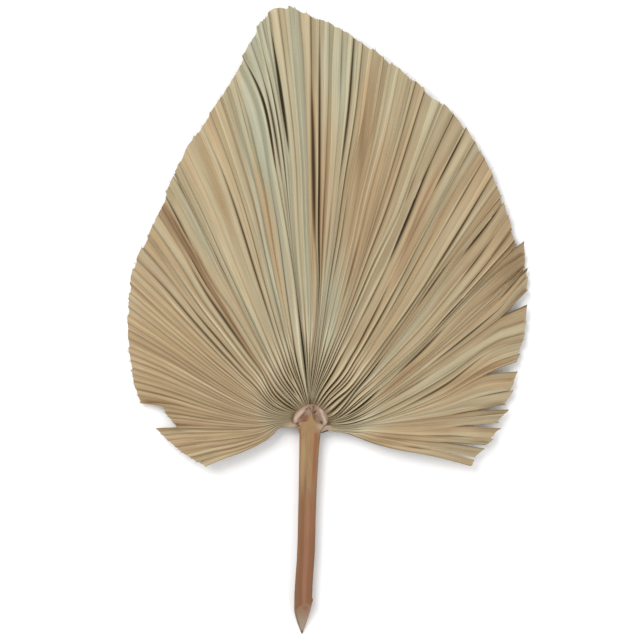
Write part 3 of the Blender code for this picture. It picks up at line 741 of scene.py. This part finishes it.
petiole = {
    "stations": [
        (-160.0, -5.9, 6.3, 8.0), (-131.0, -5.6, 6.5, 8.4), (-116.5, -4.95, 6.4, 8.4),
        (-96.0, -3.6, 6.45, 8.6), (-61.5, -2.7, 6.5, 8.8), (-27.0, -1.5, 7.05, 9.2),
        (-11.0, -0.7, 7.6, 9.5), (-5.0, -0.3, 7.4, 8.2), (4.5, 0.0, 6.9, 7.4),
    ],  # mm: y, middle, half width, thickness
    "section": [
        (-0.22, 0.0), (0.22, 0.0), (0.66, 0.10), (0.94, 0.36), (1.0, 0.62), (0.88, 0.86),
        (0.40, 1.0), (-0.40, 1.0), (-0.88, 0.86), (-1.0, 0.62), (-0.94, 0.36), (-0.66, 0.10),
    ],  # once round, in half widths and thicknesses
    "stepsAlong": 18,
    "stepsRound": 6,
    "sharpFrom": 40,               # degrees
    "groove": 0.13,                # mm, how deep the long fibres stand out
    "pointTip": (-6.6, -157.0, 0.0),
    "cuts": ((-0.86, -0.37, 0.45), (0.92, -0.35, 0.26), (0.13, -0.345, 0.93)),   # left, right, upper facet
    "nub": (-131.4, 1.0, 0.8),     # mm: y, half length and height of the small bump on the right edge
    # mm: y, half width, underside
    "costa": [(1.0, 6.0, 0.8), (11.0, 5.2, 1.6), (23.0, 3.8, 4.4), (34.0, 1.6, 8.6)],
    "costaSection": [(-1.0, 1.0), (-0.9, 0.45), (-0.35, 0.0), (0.35, 0.0), (0.9, 0.45), (1.0, 1.0)],
    "costaBelow": 1.6,             # mm under the ironed blade
    "material": "driedStemSkin",
}

hub = {
    "columns": 73,
    "stepsAlong": 6,
    "side": 8.9,                   # mm, how high it is beside the stem's face, and on that face
    "faceHeight": [(-14, 9.2), (-11, 9.7), (-6, 10.2), (0, 10.9), (4, 11.1), (8, 10.8), (10.2, 9.4)],
    "highest": 11.9,
    "underside": 3.0,
    "undersideWidth": 0.97,
    "tuck": 1.1,                   # how far its margin runs on under the blade
    "faceEdge": 1.6,               # how wide the face's own edges are, in height and in colour
    "faceEdgeTint": 1.2,
    "grain": 0.07,
    "rounding": (0.7, 0.9),        # how far down and how far in its edge is rounded off
}

# the hub's left and right edge at each y, then those of the stem's face that runs up over it, in mm
hubEdges = [
    (-14.0, -7.7, 5.9, -9.0, 8.0), (-11.5, -8.2, 6.8, -9.0, 8.0), (-10.0, -8.5, 7.1, -9.2, 8.6),
    (-8.0, -9.2, 8.4, -9.6, 9.6), (-6.0, -10.2, 9.8, -9.0, 10.4), (-4.0, -11.3, 11.0, -7.4, 8.4),
    (-2.0, -11.9, 11.7, -4.6, 4.4), (0.0, -11.9, 11.9, -3.2, 2.9), (2.5, -11.2, 11.2, -1.6, 2.2),
    (5.0, -9.4, 9.3, -0.8, 1.8), (7.0, -7.0, 7.1, -1.5, 2.6), (8.6, -4.4, 4.8, -2.4, 3.2),
    (9.6, -2.2, 3.0, -2.2, 3.0), (10.2, -0.6, 1.4, -1.6, 2.4),
]

# forms on the hub: x, y, half length, half width in mm, turn in degrees, height in mm, then how much lilac
# skin, red-brown skin and dark painted shade
hubForms = [
    (-8.2, 2.6, 5.6, 1.7, 47, 1.3, 1.0, 0.0, 0.0),
    (-10.6, -1.6, 2.0, 1.2, 100, 0.6, 0.7, 0.0, 0.0),
    (-4.5, 0.3, 3.7, 2.6, 25, -0.5, 0.0, 0.85, 0.0),
    (-6.0, 2.2, 4.2, 0.5, 48, -0.5, 0.0, 0.3, 0.35),
    (-5.6, -1.9, 3.4, 0.5, 8, -0.3, 0.0, 0.6, 0.0),
    (-9.8, -3.6, 1.3, 1.0, 30, 0.2, 0.0, 1.0, 0.5),
    (-8.8, -5.3, 1.0, 0.8, 0, 0.1, 0.0, 0.9, 0.6),
    (7.9, 4.8, 2.4, 1.3, -40, 1.1, 1.0, 0.0, 0.1),
    (9.2, 0.6, 5.2, 1.4, -66, 1.3, 1.0, 0.0, 0.0),
    (9.9, -4.0, 2.6, 1.3, -100, 0.7, 0.5, 0.0, 0.0),
    (4.9, 0.4, 4.6, 1.9, -62, -0.6, 0.0, 0.35, 0.30),
    (2.9, 1.2, 2.8, 0.4, -80, -0.4, 0.0, 0.2, 0.4),
    (7.6, -2.9, 1.4, 0.6, -50, -0.5, 0.0, 0.2, 0.9),
    (2.8, 4.6, 1.6, 0.5, 40, -0.7, 0.0, 0.0, 0.9),
    (3.6, -5.0, 5.0, 0.7, -60, 0.35, 0.2, 0.0, 0.0),
    (7.4, -6.4, 3.6, 2.3, -45, 0.1, 0.6, 0.0, 0.0),
    (9.0, -6.6, 2.6, 0.5, 57, -0.4, 0.0, 0.2, 0.75),
    (0.6, 8.0, 2.4, 2.6, 90, 0.4, 0.1, 0.15, 0.22),
    (1.8, 8.6, 1.0, 0.5, 20, -0.3, 0.0, 0.0, 0.45),
    (-1.2, 7.4, 0.9, 0.5, -50, -0.3, 0.0, 0.1, 0.40),
    (-2.9, 6.6, 0.8, 0.6, 0, -0.5, 0.0, 0.0, 0.8),
]


def closedRings(name, rings):
    # a tube through rings of points, closed at both ends
    rows, around = rings.shape[:2]
    number = np.arange(rows * around).reshape(rows, around)
    onward = np.roll(number, -1, axis=1)
    faces = np.stack([number[:-1], onward[:-1], onward[1:], number[1:]], -1).reshape(-1, 4).tolist()
    mesh = bpy.data.meshes.new(name)
    mesh.from_pydata(rings.reshape(-1, 3).tolist(), [], [*faces, number[0].tolist(), number[-1].tolist()])
    return turnOutwards(mesh)


def turnOutwards(mesh):
    bm = bmesh.new()
    bm.from_mesh(mesh)
    bmesh.ops.recalc_face_normals(bm, faces=bm.faces[:])
    bm.to_mesh(mesh)
    bm.free()
    return mesh


def storeSkin(mesh, forms=()):
    # where each point lies on the skin: -1 to 1 across, mm along, 1 on the stem's face, and the hub's tints
    table = np.array(petiole["stations"])
    points = np.empty(len(mesh.vertices) * 3)
    mesh.vertices.foreach_get("co", points)
    x, y, _ = points.reshape(-1, 3).T / mm
    across = (x - np.interp(y, table[:, 0], table[:, 1])) / np.interp(y, table[:, 0], table[:, 2])
    weights = np.zeros((len(x), 3))
    for form in forms:
        weights += formAt(form, x, y)[:, None] * form[6:]
    edges = np.array(hubEdges)
    faceLeft, faceRight = (np.interp(y, edges[:, 0], edges[:, k]) for k in (3, 4))
    edge = hub["faceEdgeTint"]
    onFace = smooth((x - faceLeft) / edge) * smooth((faceRight - x) / edge) if forms else np.ones(len(x))
    storeVectors(mesh, {"skin": np.stack([across, y, onFace], -1), "hubTints": np.clip(weights, 0, 1)})


def formAt(form, x, y):
    # 1 in the middle of a form and 0 beyond its edge
    turn = math.radians(form[4])
    along = (x - form[0]) * math.cos(turn) + (y - form[1]) * math.sin(turn)
    aside = (y - form[1]) * math.cos(turn) - (x - form[0]) * math.sin(turn)
    return np.exp(-((along / form[2]) ** 2 + (aside / form[3]) ** 2) ** 1.3)


def stemMesh():
    stations = through(petiole["stations"], petiole["stepsAlong"])
    section = through(petiole["section"], petiole["stepsRound"], closed=True)
    y, middleX, half, thick = (stations[:, k:k + 1] for k in range(4))
    turn = np.arctan2(section[:, 1] - 0.5, section[:, 0])[None, :]
    fibres = sum(np.sin(k * turn + 1.7 * k + (0.02 + 0.003 * k) * y) for k in (9, 13, 17, 23, 29)) / 5
    shrink = 1 - petiole["groove"] * (0.5 + 0.5 * fibres) / half
    x = middleX + section[None, :, 0] * half * shrink
    z = (0.5 + (section[None, :, 1] - 0.5) * shrink) * thick
    at, halfLength, height = petiole["nub"]
    x += height * np.exp(-((y - at) / halfLength) ** 2) * smooth((section[None, :, 0] - 0.7) / 0.3)
    rings = np.dstack([x, np.broadcast_to(y, x.shape), np.clip(z, 0, None)]) * mm
    bm = bmesh.new()
    bm.from_mesh(closedRings("stem", rings))
    cutLayer = bm.faces.layers.float.new("cut")
    for number, normal in enumerate(petiole["cuts"], 1):
        whole = bm.verts[:] + bm.edges[:] + bm.faces[:]
        tip = Vector(petiole["pointTip"]) * mm
        cut = bmesh.ops.bisect_plane(bm, geom=whole, plane_co=tip, plane_no=Vector(normal), clear_outer=True)
        edges = [item for item in cut["geom_cut"] if isinstance(item, bmesh.types.BMEdge)]
        for face in bmesh.ops.holes_fill(bm, edges=edges)["faces"]:
            face[cutLayer] = number
    bmesh.ops.remove_doubles(bm, verts=bm.verts[:], dist=0.02 * mm)      # the three cuts meet in one point
    bmesh.ops.recalc_face_normals(bm, faces=bm.faces[:])
    mesh = bpy.data.meshes.new("stem")
    bm.to_mesh(mesh)
    bm.free()
    return mesh


def hubMesh():
    # a height field over the hub, closed by its side and its underside
    edges = through(hubEdges, hub["stepsAlong"])
    y, left, right, faceLeft, faceRight = (edges[:, k:k + 1] for k in range(5))
    tuck = hub["tuck"] * smooth((y + 6) / 4)
    left, right = left - tuck, right + tuck
    share = np.linspace(-1, 1, hub["columns"])[None, :]
    x = (left + right) / 2 + (right - left) / 2 * share
    y = np.broadcast_to(y, x.shape)
    onFace = smooth((x - faceLeft) / hub["faceEdge"]) * smooth((faceRight - x) / hub["faceEdge"])
    z = hub["side"] + (readOff(hub["faceHeight"], y) - hub["side"]) * onFace
    for form in hubForms:
        z = z + form[5] * formAt(form, x, y)
    z += hub["grain"] * np.sin(3.1 * x + 0.6 * y) * np.sin(0.7 * y + 2) * smooth((y + 9) / 4)
    down, inwards = hub["rounding"]
    z -= down * smooth(1 - (right - left) / 2 * (1 - np.abs(share)) / inwards)
    z = np.minimum(z, hub["highest"])
    top = np.dstack([x, y, z])
    middleX = (x[:, -1:] + x[:, :1]) / 2
    under = top[:, ::-1].copy()
    under[..., 0] = middleX + (under[..., 0] - middleX) * hub["undersideWidth"]
    under[..., 2] = hub["underside"]
    return closedRings("hub", np.concatenate([top, under], axis=1) * mm)


def costaMesh():
    stations = through(petiole["costa"], 8)
    y, half, low = (stations[:, k:k + 1] for k in range(3))
    ring = through(petiole["costaSection"], 4)
    high = bladeHeight(np.concatenate([0 * y, y], -1) * mm)[:, None] / mm - petiole["costaBelow"]
    z = low + ring[None, :, 1] * (high - low)
    return closedRings("costa", np.dstack([ring[None, :, 0] * half, np.broadcast_to(y, z.shape), z]) * mm)


def makePetiole(material):
    stem, hubAndLobes, costa = stemMesh(), hubMesh(), costaMesh()
    pieces = (("whittled_stem", stem, ()), ("hub_and_lobes", hubAndLobes, hubForms), ("costa", costa, ()))
    for name, mesh, forms in pieces:
        storeSkin(mesh, forms)
        mesh.materials.append(material)
        piece = newPiece(name, mesh)
        mesh.shade_smooth()
        mesh.set_sharp_from_angle(angle=math.radians(petiole["sharpFrom"]))
        dress(piece, "petiole")
        print(name, len(mesh.polygons), "faces")


# Papery flap: the loose corner of tissue where the blade's right margin meets the hub

flap = {
    "lower": [(6.7, -10.9, 8.0), (10.5, -9.8, 8.2), (14.9, -8.3, 8.4)],    # mm: x, y, z
    "upper": [(7.8, -8.4, 9.3), (10.2, -5.4, 9.7), (14.4, -5.0, 9.1)],
    "rows": [0, 0.24, 0.4, 0.55, 0.7, 0.85, 1],
    "bulge": 0.5,                  # mm
    "thickness": 0.5 * mm,
    "sharpFrom": 40,
}


def makeFlap(material, paintedShadowMaterial):
    lower, upper = through(flap["lower"], 6), through(flap["upper"], 6)
    share = np.array(flap["rows"])[:, None, None]
    grid = lower[None] * (1 - share) + upper[None] * share
    grid[..., 2] += flap["bulge"] * np.sin(np.pi * share[..., 0])
    number = np.arange(grid.shape[0] * grid.shape[1]).reshape(grid.shape[:2])
    faces = np.stack([number[:-1, :-1], number[:-1, 1:], number[1:, 1:], number[1:, :-1]], -1).reshape(-1, 4)
    mesh = sheetMesh("flap", grid.reshape(-1, 3) * mm, faces)
    mesh.materials.append(material)
    mesh.materials.append(paintedShadowMaterial)
    # its lower strip is painted dark, as shadow under the flap's edge
    for face in mesh.polygons[:grid.shape[1] - 1]:
        face.material_index = 1                        # its lower edge is turned under and dark
    piece = newPiece("papery_flap", mesh)
    thicken(piece, flap["thickness"], flap["sharpFrom"])
    dress(piece, "blade")
    print("papery flap", len(piece.data.polygons), "faces")


# Materials


def newMaterial(name, look):
    material = bpy.data.materials.new(name)
    material.use_nodes = True
    shader = material.node_tree.nodes["Principled BSDF"]
    shader.inputs["Roughness"].default_value = look["roughness"]
    shader.inputs["Specular IOR Level"].default_value = look["specular"]
    return material, material.node_tree, shader


def paint(tree, colours, under, coats):
    # lays coats over a colour. Each has its own colour, the mask, the mask's values where it starts and where
    # it is full, and how much of it is laid on.
    colour = colours.get(under, under)
    for over, mask, low, high, share in coats:
        amount = addNode(tree, *comeUp, [mask, low, high])
        amount = addNode(tree, *times, [amount, share])
        over = colours.get(over, over)
        colour = addNode(tree, "ShaderNodeMix", {"data_type": "RGBA"}, {0: amount, 6: colour, 7: over})
    return colour


def finishSkin(tree, shader, colour, value, relief, strength):
    # the last colour with its lights and darks, and the relief
    bumps = {"Strength": strength, "Distance": 0.15 * mm, "Height": relief}
    vary = addNode(tree, "ShaderNodeHueSaturation", None, {"Value": value, "Color": colour})
    bump = addNode(tree, "ShaderNodeBump", None, bumps)
    tree.links.new(vary.outputs[0], shader.inputs["Base Color"])
    tree.links.new(bump.outputs[0], shader.inputs["Normal"])


def storedVectors(tree, names):
    # the three values of each vector that is stored on the mesh
    for name in names:
        stored = addNode(tree, "ShaderNodeAttribute", {"attribute_name": name})
        yield addNode(tree, "ShaderNodeSeparateXYZ", None, [stored.outputs["Vector"]]).outputs


bladeLook = {
    "straw": "#ACA082",
    "greyGreen": "#A7A68F",
    "tan": "#A8916F",
    "peach": "#A6886B",
    "brown": "#80674A",
    # pale ridge lines, partly rib and partly painted highlight
    "ridgePale": "#C6BDA2",
    # the darkest brown tone, and painted shade in and beside the valleys and beside the slits
    "foldBrown": "#5E4A2B",
    # the dark core of a slit, painted shade
    "slitBrown": "#32260F",
    # painted shade beside the hub
    "hubBrown": "#4E3B1E",
    "cream": "#A7947C",
    "roughness": 0.68,
    "specular": 0.25,
    "veins": 12,                   # to a pleat, 0.4 mm apart
    "relief": 0.35,
}


def driedPalmBlade():
    # Palm lamina, dried and sun-bleached: papery and matt, with close parallel veins that catch the light,
    # each facet in its own tint, and brown painted shade in the folds, the slits and beside the hub
    material, tree, shader = newMaterial(blade["material"], bladeLook)
    add = partial(addNode, tree)
    fan, tints, lines, depths = storedVectors(tree, ("fan", "tint", "lines", "depths"))
    pleat, along, slit = fan
    tint, patch, _ = tints
    free, line, regular = lines
    fold = add("ShaderNodeAttribute", {"attribute_name": "fold"}).outputs["Fac"]

    def alongPleats(acrossScale, alongScale, detail):
        # noise drawn out along the pleats
        where = add("ShaderNodeCombineXYZ", None, [
            add(*times, [pleat, acrossScale]),
            add(*times, [along, alongScale]),
        ])
        return add("ShaderNodeTexNoise", None, {"Vector": where, "Scale": 1.0, "Detail": detail})

    # how far a point lies from the valley between two pleats and from the ridge of its own, in mm
    width = add(*times, [depths[2], 2 / mm])
    share = add(*backAndForth, [pleat, 0.5])
    rest = add(*minus, [0.5, share])
    offValley = add(*times, [share, width])
    offRidge = add(*times, [rest, width])

    # one tint for each facet of each pleat, changing slowly along it, and less so in the even left third
    halves = add(*times, [pleat, 2.0])
    facet = add("ShaderNodeMath", {"operation": "FLOOR"}, [halves])
    drawn = add("ShaderNodeTexWhiteNoise", {"noise_dimensions": "1D"}, {"W": facet}).outputs["Value"]
    drawn = add(*minus, [drawn, 0.5])
    spread = add(*timesPlus, [regular, -0.13, 0.22])
    streaks = add(*plus, [alongPleats(3.0, 1.6, 4.0), alongPleats(0.42, 0.22, 1.0)])
    tone = add(*timesPlus, [streaks, 0.42, 0.165])
    tone = add(*timesPlus, [drawn, spread, tone])
    tone = add(*timesPlus, [tint, -0.30, tone])
    blush = add("ShaderNodeMath", {"operation": "MULTIPLY_ADD", "use_clamp": True}, [tint, -0.20, 0.19])
    fusedDarkening = add(*times, [regular, 0.30])       # darker where the left margin is fused

    # a pale line on many ridges, partly a paler rib and partly a painted highlight,
    # and a soft painted shade beside the valleys, with a brown line of painted shade in them
    onRidge = add(*comeUp, {
        "Value": alongPleats(1.9, 1.0, 2.0), "From Min": 0.42, "From Max": 0.76, "To Max": 0.80})
    shade = add(*times, [line, 0.34])

    # beside the hub the valleys get painted shade, broader the nearer they are,
    # and the crests get a painted highlight
    broad = add(*timesPlus, [along, -1.4, 0.58])
    nearHub = add(*comeUp, [along, 0.32, 0.10])
    nearHub = add(*times, [nearHub, free])
    crestHighlight = add(*times, [nearHub, 0.55])

    # the slits are painted nearly black with shade, and their flanks brown with painted shade
    inside = add(*minus, [slit, offValley])
    isSlit = add(*comeUp, [slit, 0.0, 0.5])
    flank = add(*times, [isSlit, 0.60])

    colour = paint(tree, palette(bladeLook), "greyGreen", (
        ("straw", tone, 0.15, 0.50, 1),
        ("tan", tone, 0.42, 0.74, 1),
        ("brown", tone, 0.70, 0.98, 1),
        ("foldBrown", tone, 0.86, 1.12, 0.85),
        ("peach", alongPleats(1.05, 0.56, 2.0), 0.50, 0.70, blush),
        ("foldBrown", free, 0.9, 0.0, fusedDarkening),
        ("ridgePale", offRidge, 0.95, 0.20, onRidge),
        ("foldBrown", offValley, 2.2, 0.3, shade),
        ("foldBrown", offValley, 0.80, 0.10, line),
        ("hubBrown", fold, broad, 0.08, nearHub),
        ("ridgePale", fold, 0.62, 0.95, crestHighlight),
        # painted shade along the blade's inner edge, where it meets the hub
        ("hubBrown", along, 0.030, 0.002, 0.45),
        ("cream", patch, 0.0, 1.0, 1),
        # the patches below 0 are painted shade
        ("hubBrown", patch, 0.0, -1.0, 0.8),
        ("foldBrown", inside, -1.6, 0.2, flank),
        ("slitBrown", inside, -0.42, 0.30, isSlit),
    ))

    # the paper's own grain, and the veins
    grain = add(*plus, [alongPleats(26.0, 9.0, 2.0), alongPleats(8.5, 2.6, 2.0)])
    shades = add(*timesPlus, [alongPleats(1.4, 0.8, 1.0), 0.60, 0.27])
    value = add(*timesPlus, [grain, 0.44, shades])
    phase = add(*times, [pleat, 2 * math.pi * bladeLook["veins"]])
    veins = add(*sine, [phase])
    relief = add(*timesPlus, [veins, 0.35, grain])
    finishSkin(tree, shader, colour, value, relief, bladeLook["relief"])
    return material


tissueAndShadowLook = {
    "looseFibre": "#625A48",
    "creamTissue": "#9D8772",
    # painted shadow under the flap's lower edge
    "paintedFlapShadow": "#30271E",
    "roughness": 0.8,
    "specular": 0.5,
}


def tissueAndPaintedShadow(name):
    # One matt colour for each: grey-brown fibre at the cut rim, the cream inner skin of the blade's corner,
    # both bare plant tissue, and a dark painted shadow along that corner's lower edge
    material, _, shader = newMaterial(name, tissueAndShadowLook)
    shader.inputs["Base Color"].default_value = hexColour(tissueAndShadowLook[name])
    return material


petioleLook = {
    "upper": "#8F7352",
    "middle": "#855C3B",
    "lower": "#7E5436",
    "edge": "#6A5034",
    "redEdge": "#8A5A3C",
    "olive": "#957D53",
    "centre": "#91744F",
    "streak": "#8B5A39",
    "pink": "#98705A",
    "darkStripe": "#6C4628",
    "hubFloor": "#917763",
    "hubTop": "#88705B",
    "lilac": "#B09988",
    "redBrown": "#7B4D34",
    # painted shade in the hub's hollows and crevices
    "dirt": "#3B2A1D",
    "cutLeft": "#6E5C45",
    "cutRight": "#98755A",
    "cutUpper": "#87674F",
    "cutLow": "#968571",
    "redSpot": "#8A4F3C",
    "cutTip": "#3F3C38",
    "redSpotAt": (-4.4 * mm, -136.6 * mm, 6.8 * mm),
    "roughness": 0.55,
    "specular": 0.35,
    "relief": 0.5,
}


def driedStemSkin():
    # Palm stem, dried: hard, slightly waxy skin in long brown and olive fibres, papery lilac lobes on the
    # hub, and matt, paler wood where a knife cut the point
    material, tree, shader = newMaterial(petiole["material"], petioleLook)
    add = partial(addNode, tree)
    lay = partial(paint, tree, palette(petioleLook))
    skin, hubTints = storedVectors(tree, ("skin", "hubTints"))
    across, along, onFace = skin
    cut = add("ShaderNodeAttribute", {"attribute_name": "cut"}).outputs["Fac"]
    body = add("ShaderNodeTexCoord").outputs["Object"]

    def fibres(size, length):
        # streaks size mm wide and length mm long
        scale = (1 / (size * mm), 1 / (length * mm), 1 / (size * mm))
        place = add("ShaderNodeVectorMath", {"operation": "MULTIPLY"}, [body, scale])
        return add("ShaderNodeTexNoise", None, {"Vector": place, "Scale": 1.0, "Detail": 3.0})

    def offStripe(at):
        # how far a point lies from a stripe that wavers along the stem
        gap = add(*minus, [wavy, at])
        return add("ShaderNodeMath", {"operation": "ABSOLUTE"}, [gap])

    # the stripes of the upper stem give way to those of the lower, and one runs on to the hub
    broad, fine = fibres(1.9, 34.0), fibres(0.45, 14.0)
    waver = add(*timesPlus, [broad, 0.24, -0.12])
    wavy = add(*plus, [across, waver])
    upper = add(*comeUp, [along, -62.0, -34.0])
    lower = add(*minus, [1.0, upper])
    dark = add(*times, [lower, 0.50])
    rosy = add(*times, [lower, 0.38])
    reach = add(*comeUp, [along, -60.0, -34.0])
    ends = add(*comeUp, [along, -9.0, -11.5])
    reach = add(*times, [reach, ends])
    colour = lay("middle", [("upper", along, -66.0, -30.0, 1)])
    colour = lay("lower", (
        (colour, along, -98.0, -66.0, 1),
        ("centre", offStripe(0.05), 0.50, 0.15, upper),
        ("olive", offStripe(-0.58), 0.24, 0.06, upper),
        ("redEdge", wavy, -0.78, -0.95, upper),
        ("edge", wavy, -0.84, -0.98, lower),
        ("darkStripe", offStripe(-0.52), 0.34, 0.08, dark),
        ("pink", offStripe(0.06), 0.38, 0.10, rosy),
        ("streak", offStripe(0.60), 0.30, 0.09, reach),
        ("edge", wavy, 0.86, 0.98, 0.6),
        ("redEdge", broad, 0.45, 0.75, 0.40),
        ("edge", broad, 0.48, 0.25, 0.55),
    ))

    # the hub, with the stem's face running up over it
    lilac, redBrown, dirt = hubTints
    face = lay(colour, (("centre", along, -9.0, -2.0, 1), ("hubTop", along, 1.0, 6.0, 0.85)))
    colour = lay(colour, (
        ("hubFloor", along, -11.0, -5.0, 1),
        (face, onFace, 0.0, 1.0, 1),
        ("lilac", lilac, 0.0, 1.0, 1),
        ("redBrown", redBrown, 0.0, 1.0, 1),
        # painted shade darkens the hub's hollows
        ("dirt", dirt, 0.0, 1.0, 1),
    ))

    # the knife cuts
    wood = lay("cutUpper", [("cutLow", along, -136.0, -150.0, 1)])
    spot = add("ShaderNodeVectorMath", {"operation": "DISTANCE"}, [body, petioleLook["redSpotAt"]])
    facets = lay("cutLeft", (
        ("cutRight", cut, 1.4, 1.6, 1),
        (wood, cut, 2.4, 2.6, 1),
        ("redSpot", spot, 2.6 * mm, 0.5 * mm, 0.75),
        ("cutTip", along, -152.8, -155.4, 1),
    ))
    colour = lay(colour, [(facets, cut, 0.4, 0.9, 1)])
    value = add(*timesPlus, [fine, 0.36, 0.82])
    finishSkin(tree, shader, colour, value, fine, petioleLook["relief"])
    return material


# Pale paper below, a soft key from the upper left and a weak fill, and a camera straight above, so that
# the leaf fills the square frame as in the photograph

studio = {
    "middle": (6.5 * mm, 70.8 * mm, 10 * mm),      # what the camera and the lights look at
    "lens": 100,
    "sensor": 36,
    "frameWidth": 460 * mm,
    "floorHalf": 4,                # metres
    "floorLevel": -0.4 * mm,
    "paper": "#F6F6F6",
    "roughness": 0.9,              # of the paper
    "specular": 0.1,
    "sky": 0.80,
    "lights": (("key", (-0.9, 0.9, 1.3), 1.1, 22), ("fill", (1.3, -0.6, 1.2), 1.4, 6)),   # place, size, watts
}


def stageAndLight():
    half, level = studio["floorHalf"], studio["floorLevel"]
    corners = [(-half, -half, level), (half, -half, level), (half, half, level), (-half, half, level)]
    floorMesh = sheetMesh("floor", np.array(corners), np.array([(0, 1, 2, 3)]))
    floor = newPiece("floor", floorMesh)
    paper, _, shader = newMaterial("palePaper", studio)
    shader.inputs["Base Color"].default_value = hexColour(studio["paper"])
    floorMesh.materials.append(paper)

    world = bpy.data.worlds.new("studio")
    world.use_nodes = True
    background = world.node_tree.nodes["Background"]
    background.inputs["Color"].default_value = (1, 1, 1, 1)
    background.inputs["Strength"].default_value = studio["sky"]
    bpy.context.scene.world = world
    for name, place, size, power in studio["lights"]:
        light = bpy.data.lights.new(name, "AREA")
        light.size = size
        light.energy = power
        lamp = newPiece(name, light)
        lamp.location = place
        lamp.rotation_euler = (Vector(studio["middle"]) - Vector(place)).to_track_quat("-Z", "Y").to_euler()


def aimCamera():
    camera = bpy.data.cameras.new("camera")
    camera.lens = studio["lens"]
    camera.sensor_width = studio["sensor"]
    camera.clip_end = 20
    eye = newPiece("camera", camera)
    x, y, z = studio["middle"]
    eye.location = (x, y, z + studio["frameWidth"] * studio["lens"] / studio["sensor"])
    bpy.context.scene.camera = eye
    bpy.context.scene.view_settings.view_transform = "Standard"


aimCamera()
stageAndLight()
print("camera and light set")
makeBlade(driedPalmBlade(), tissueAndPaintedShadow("looseFibre"))
makeFlap(tissueAndPaintedShadow("creamTissue"), tissueAndPaintedShadow("paintedFlapShadow"))
makePetiole(driedStemSkin())
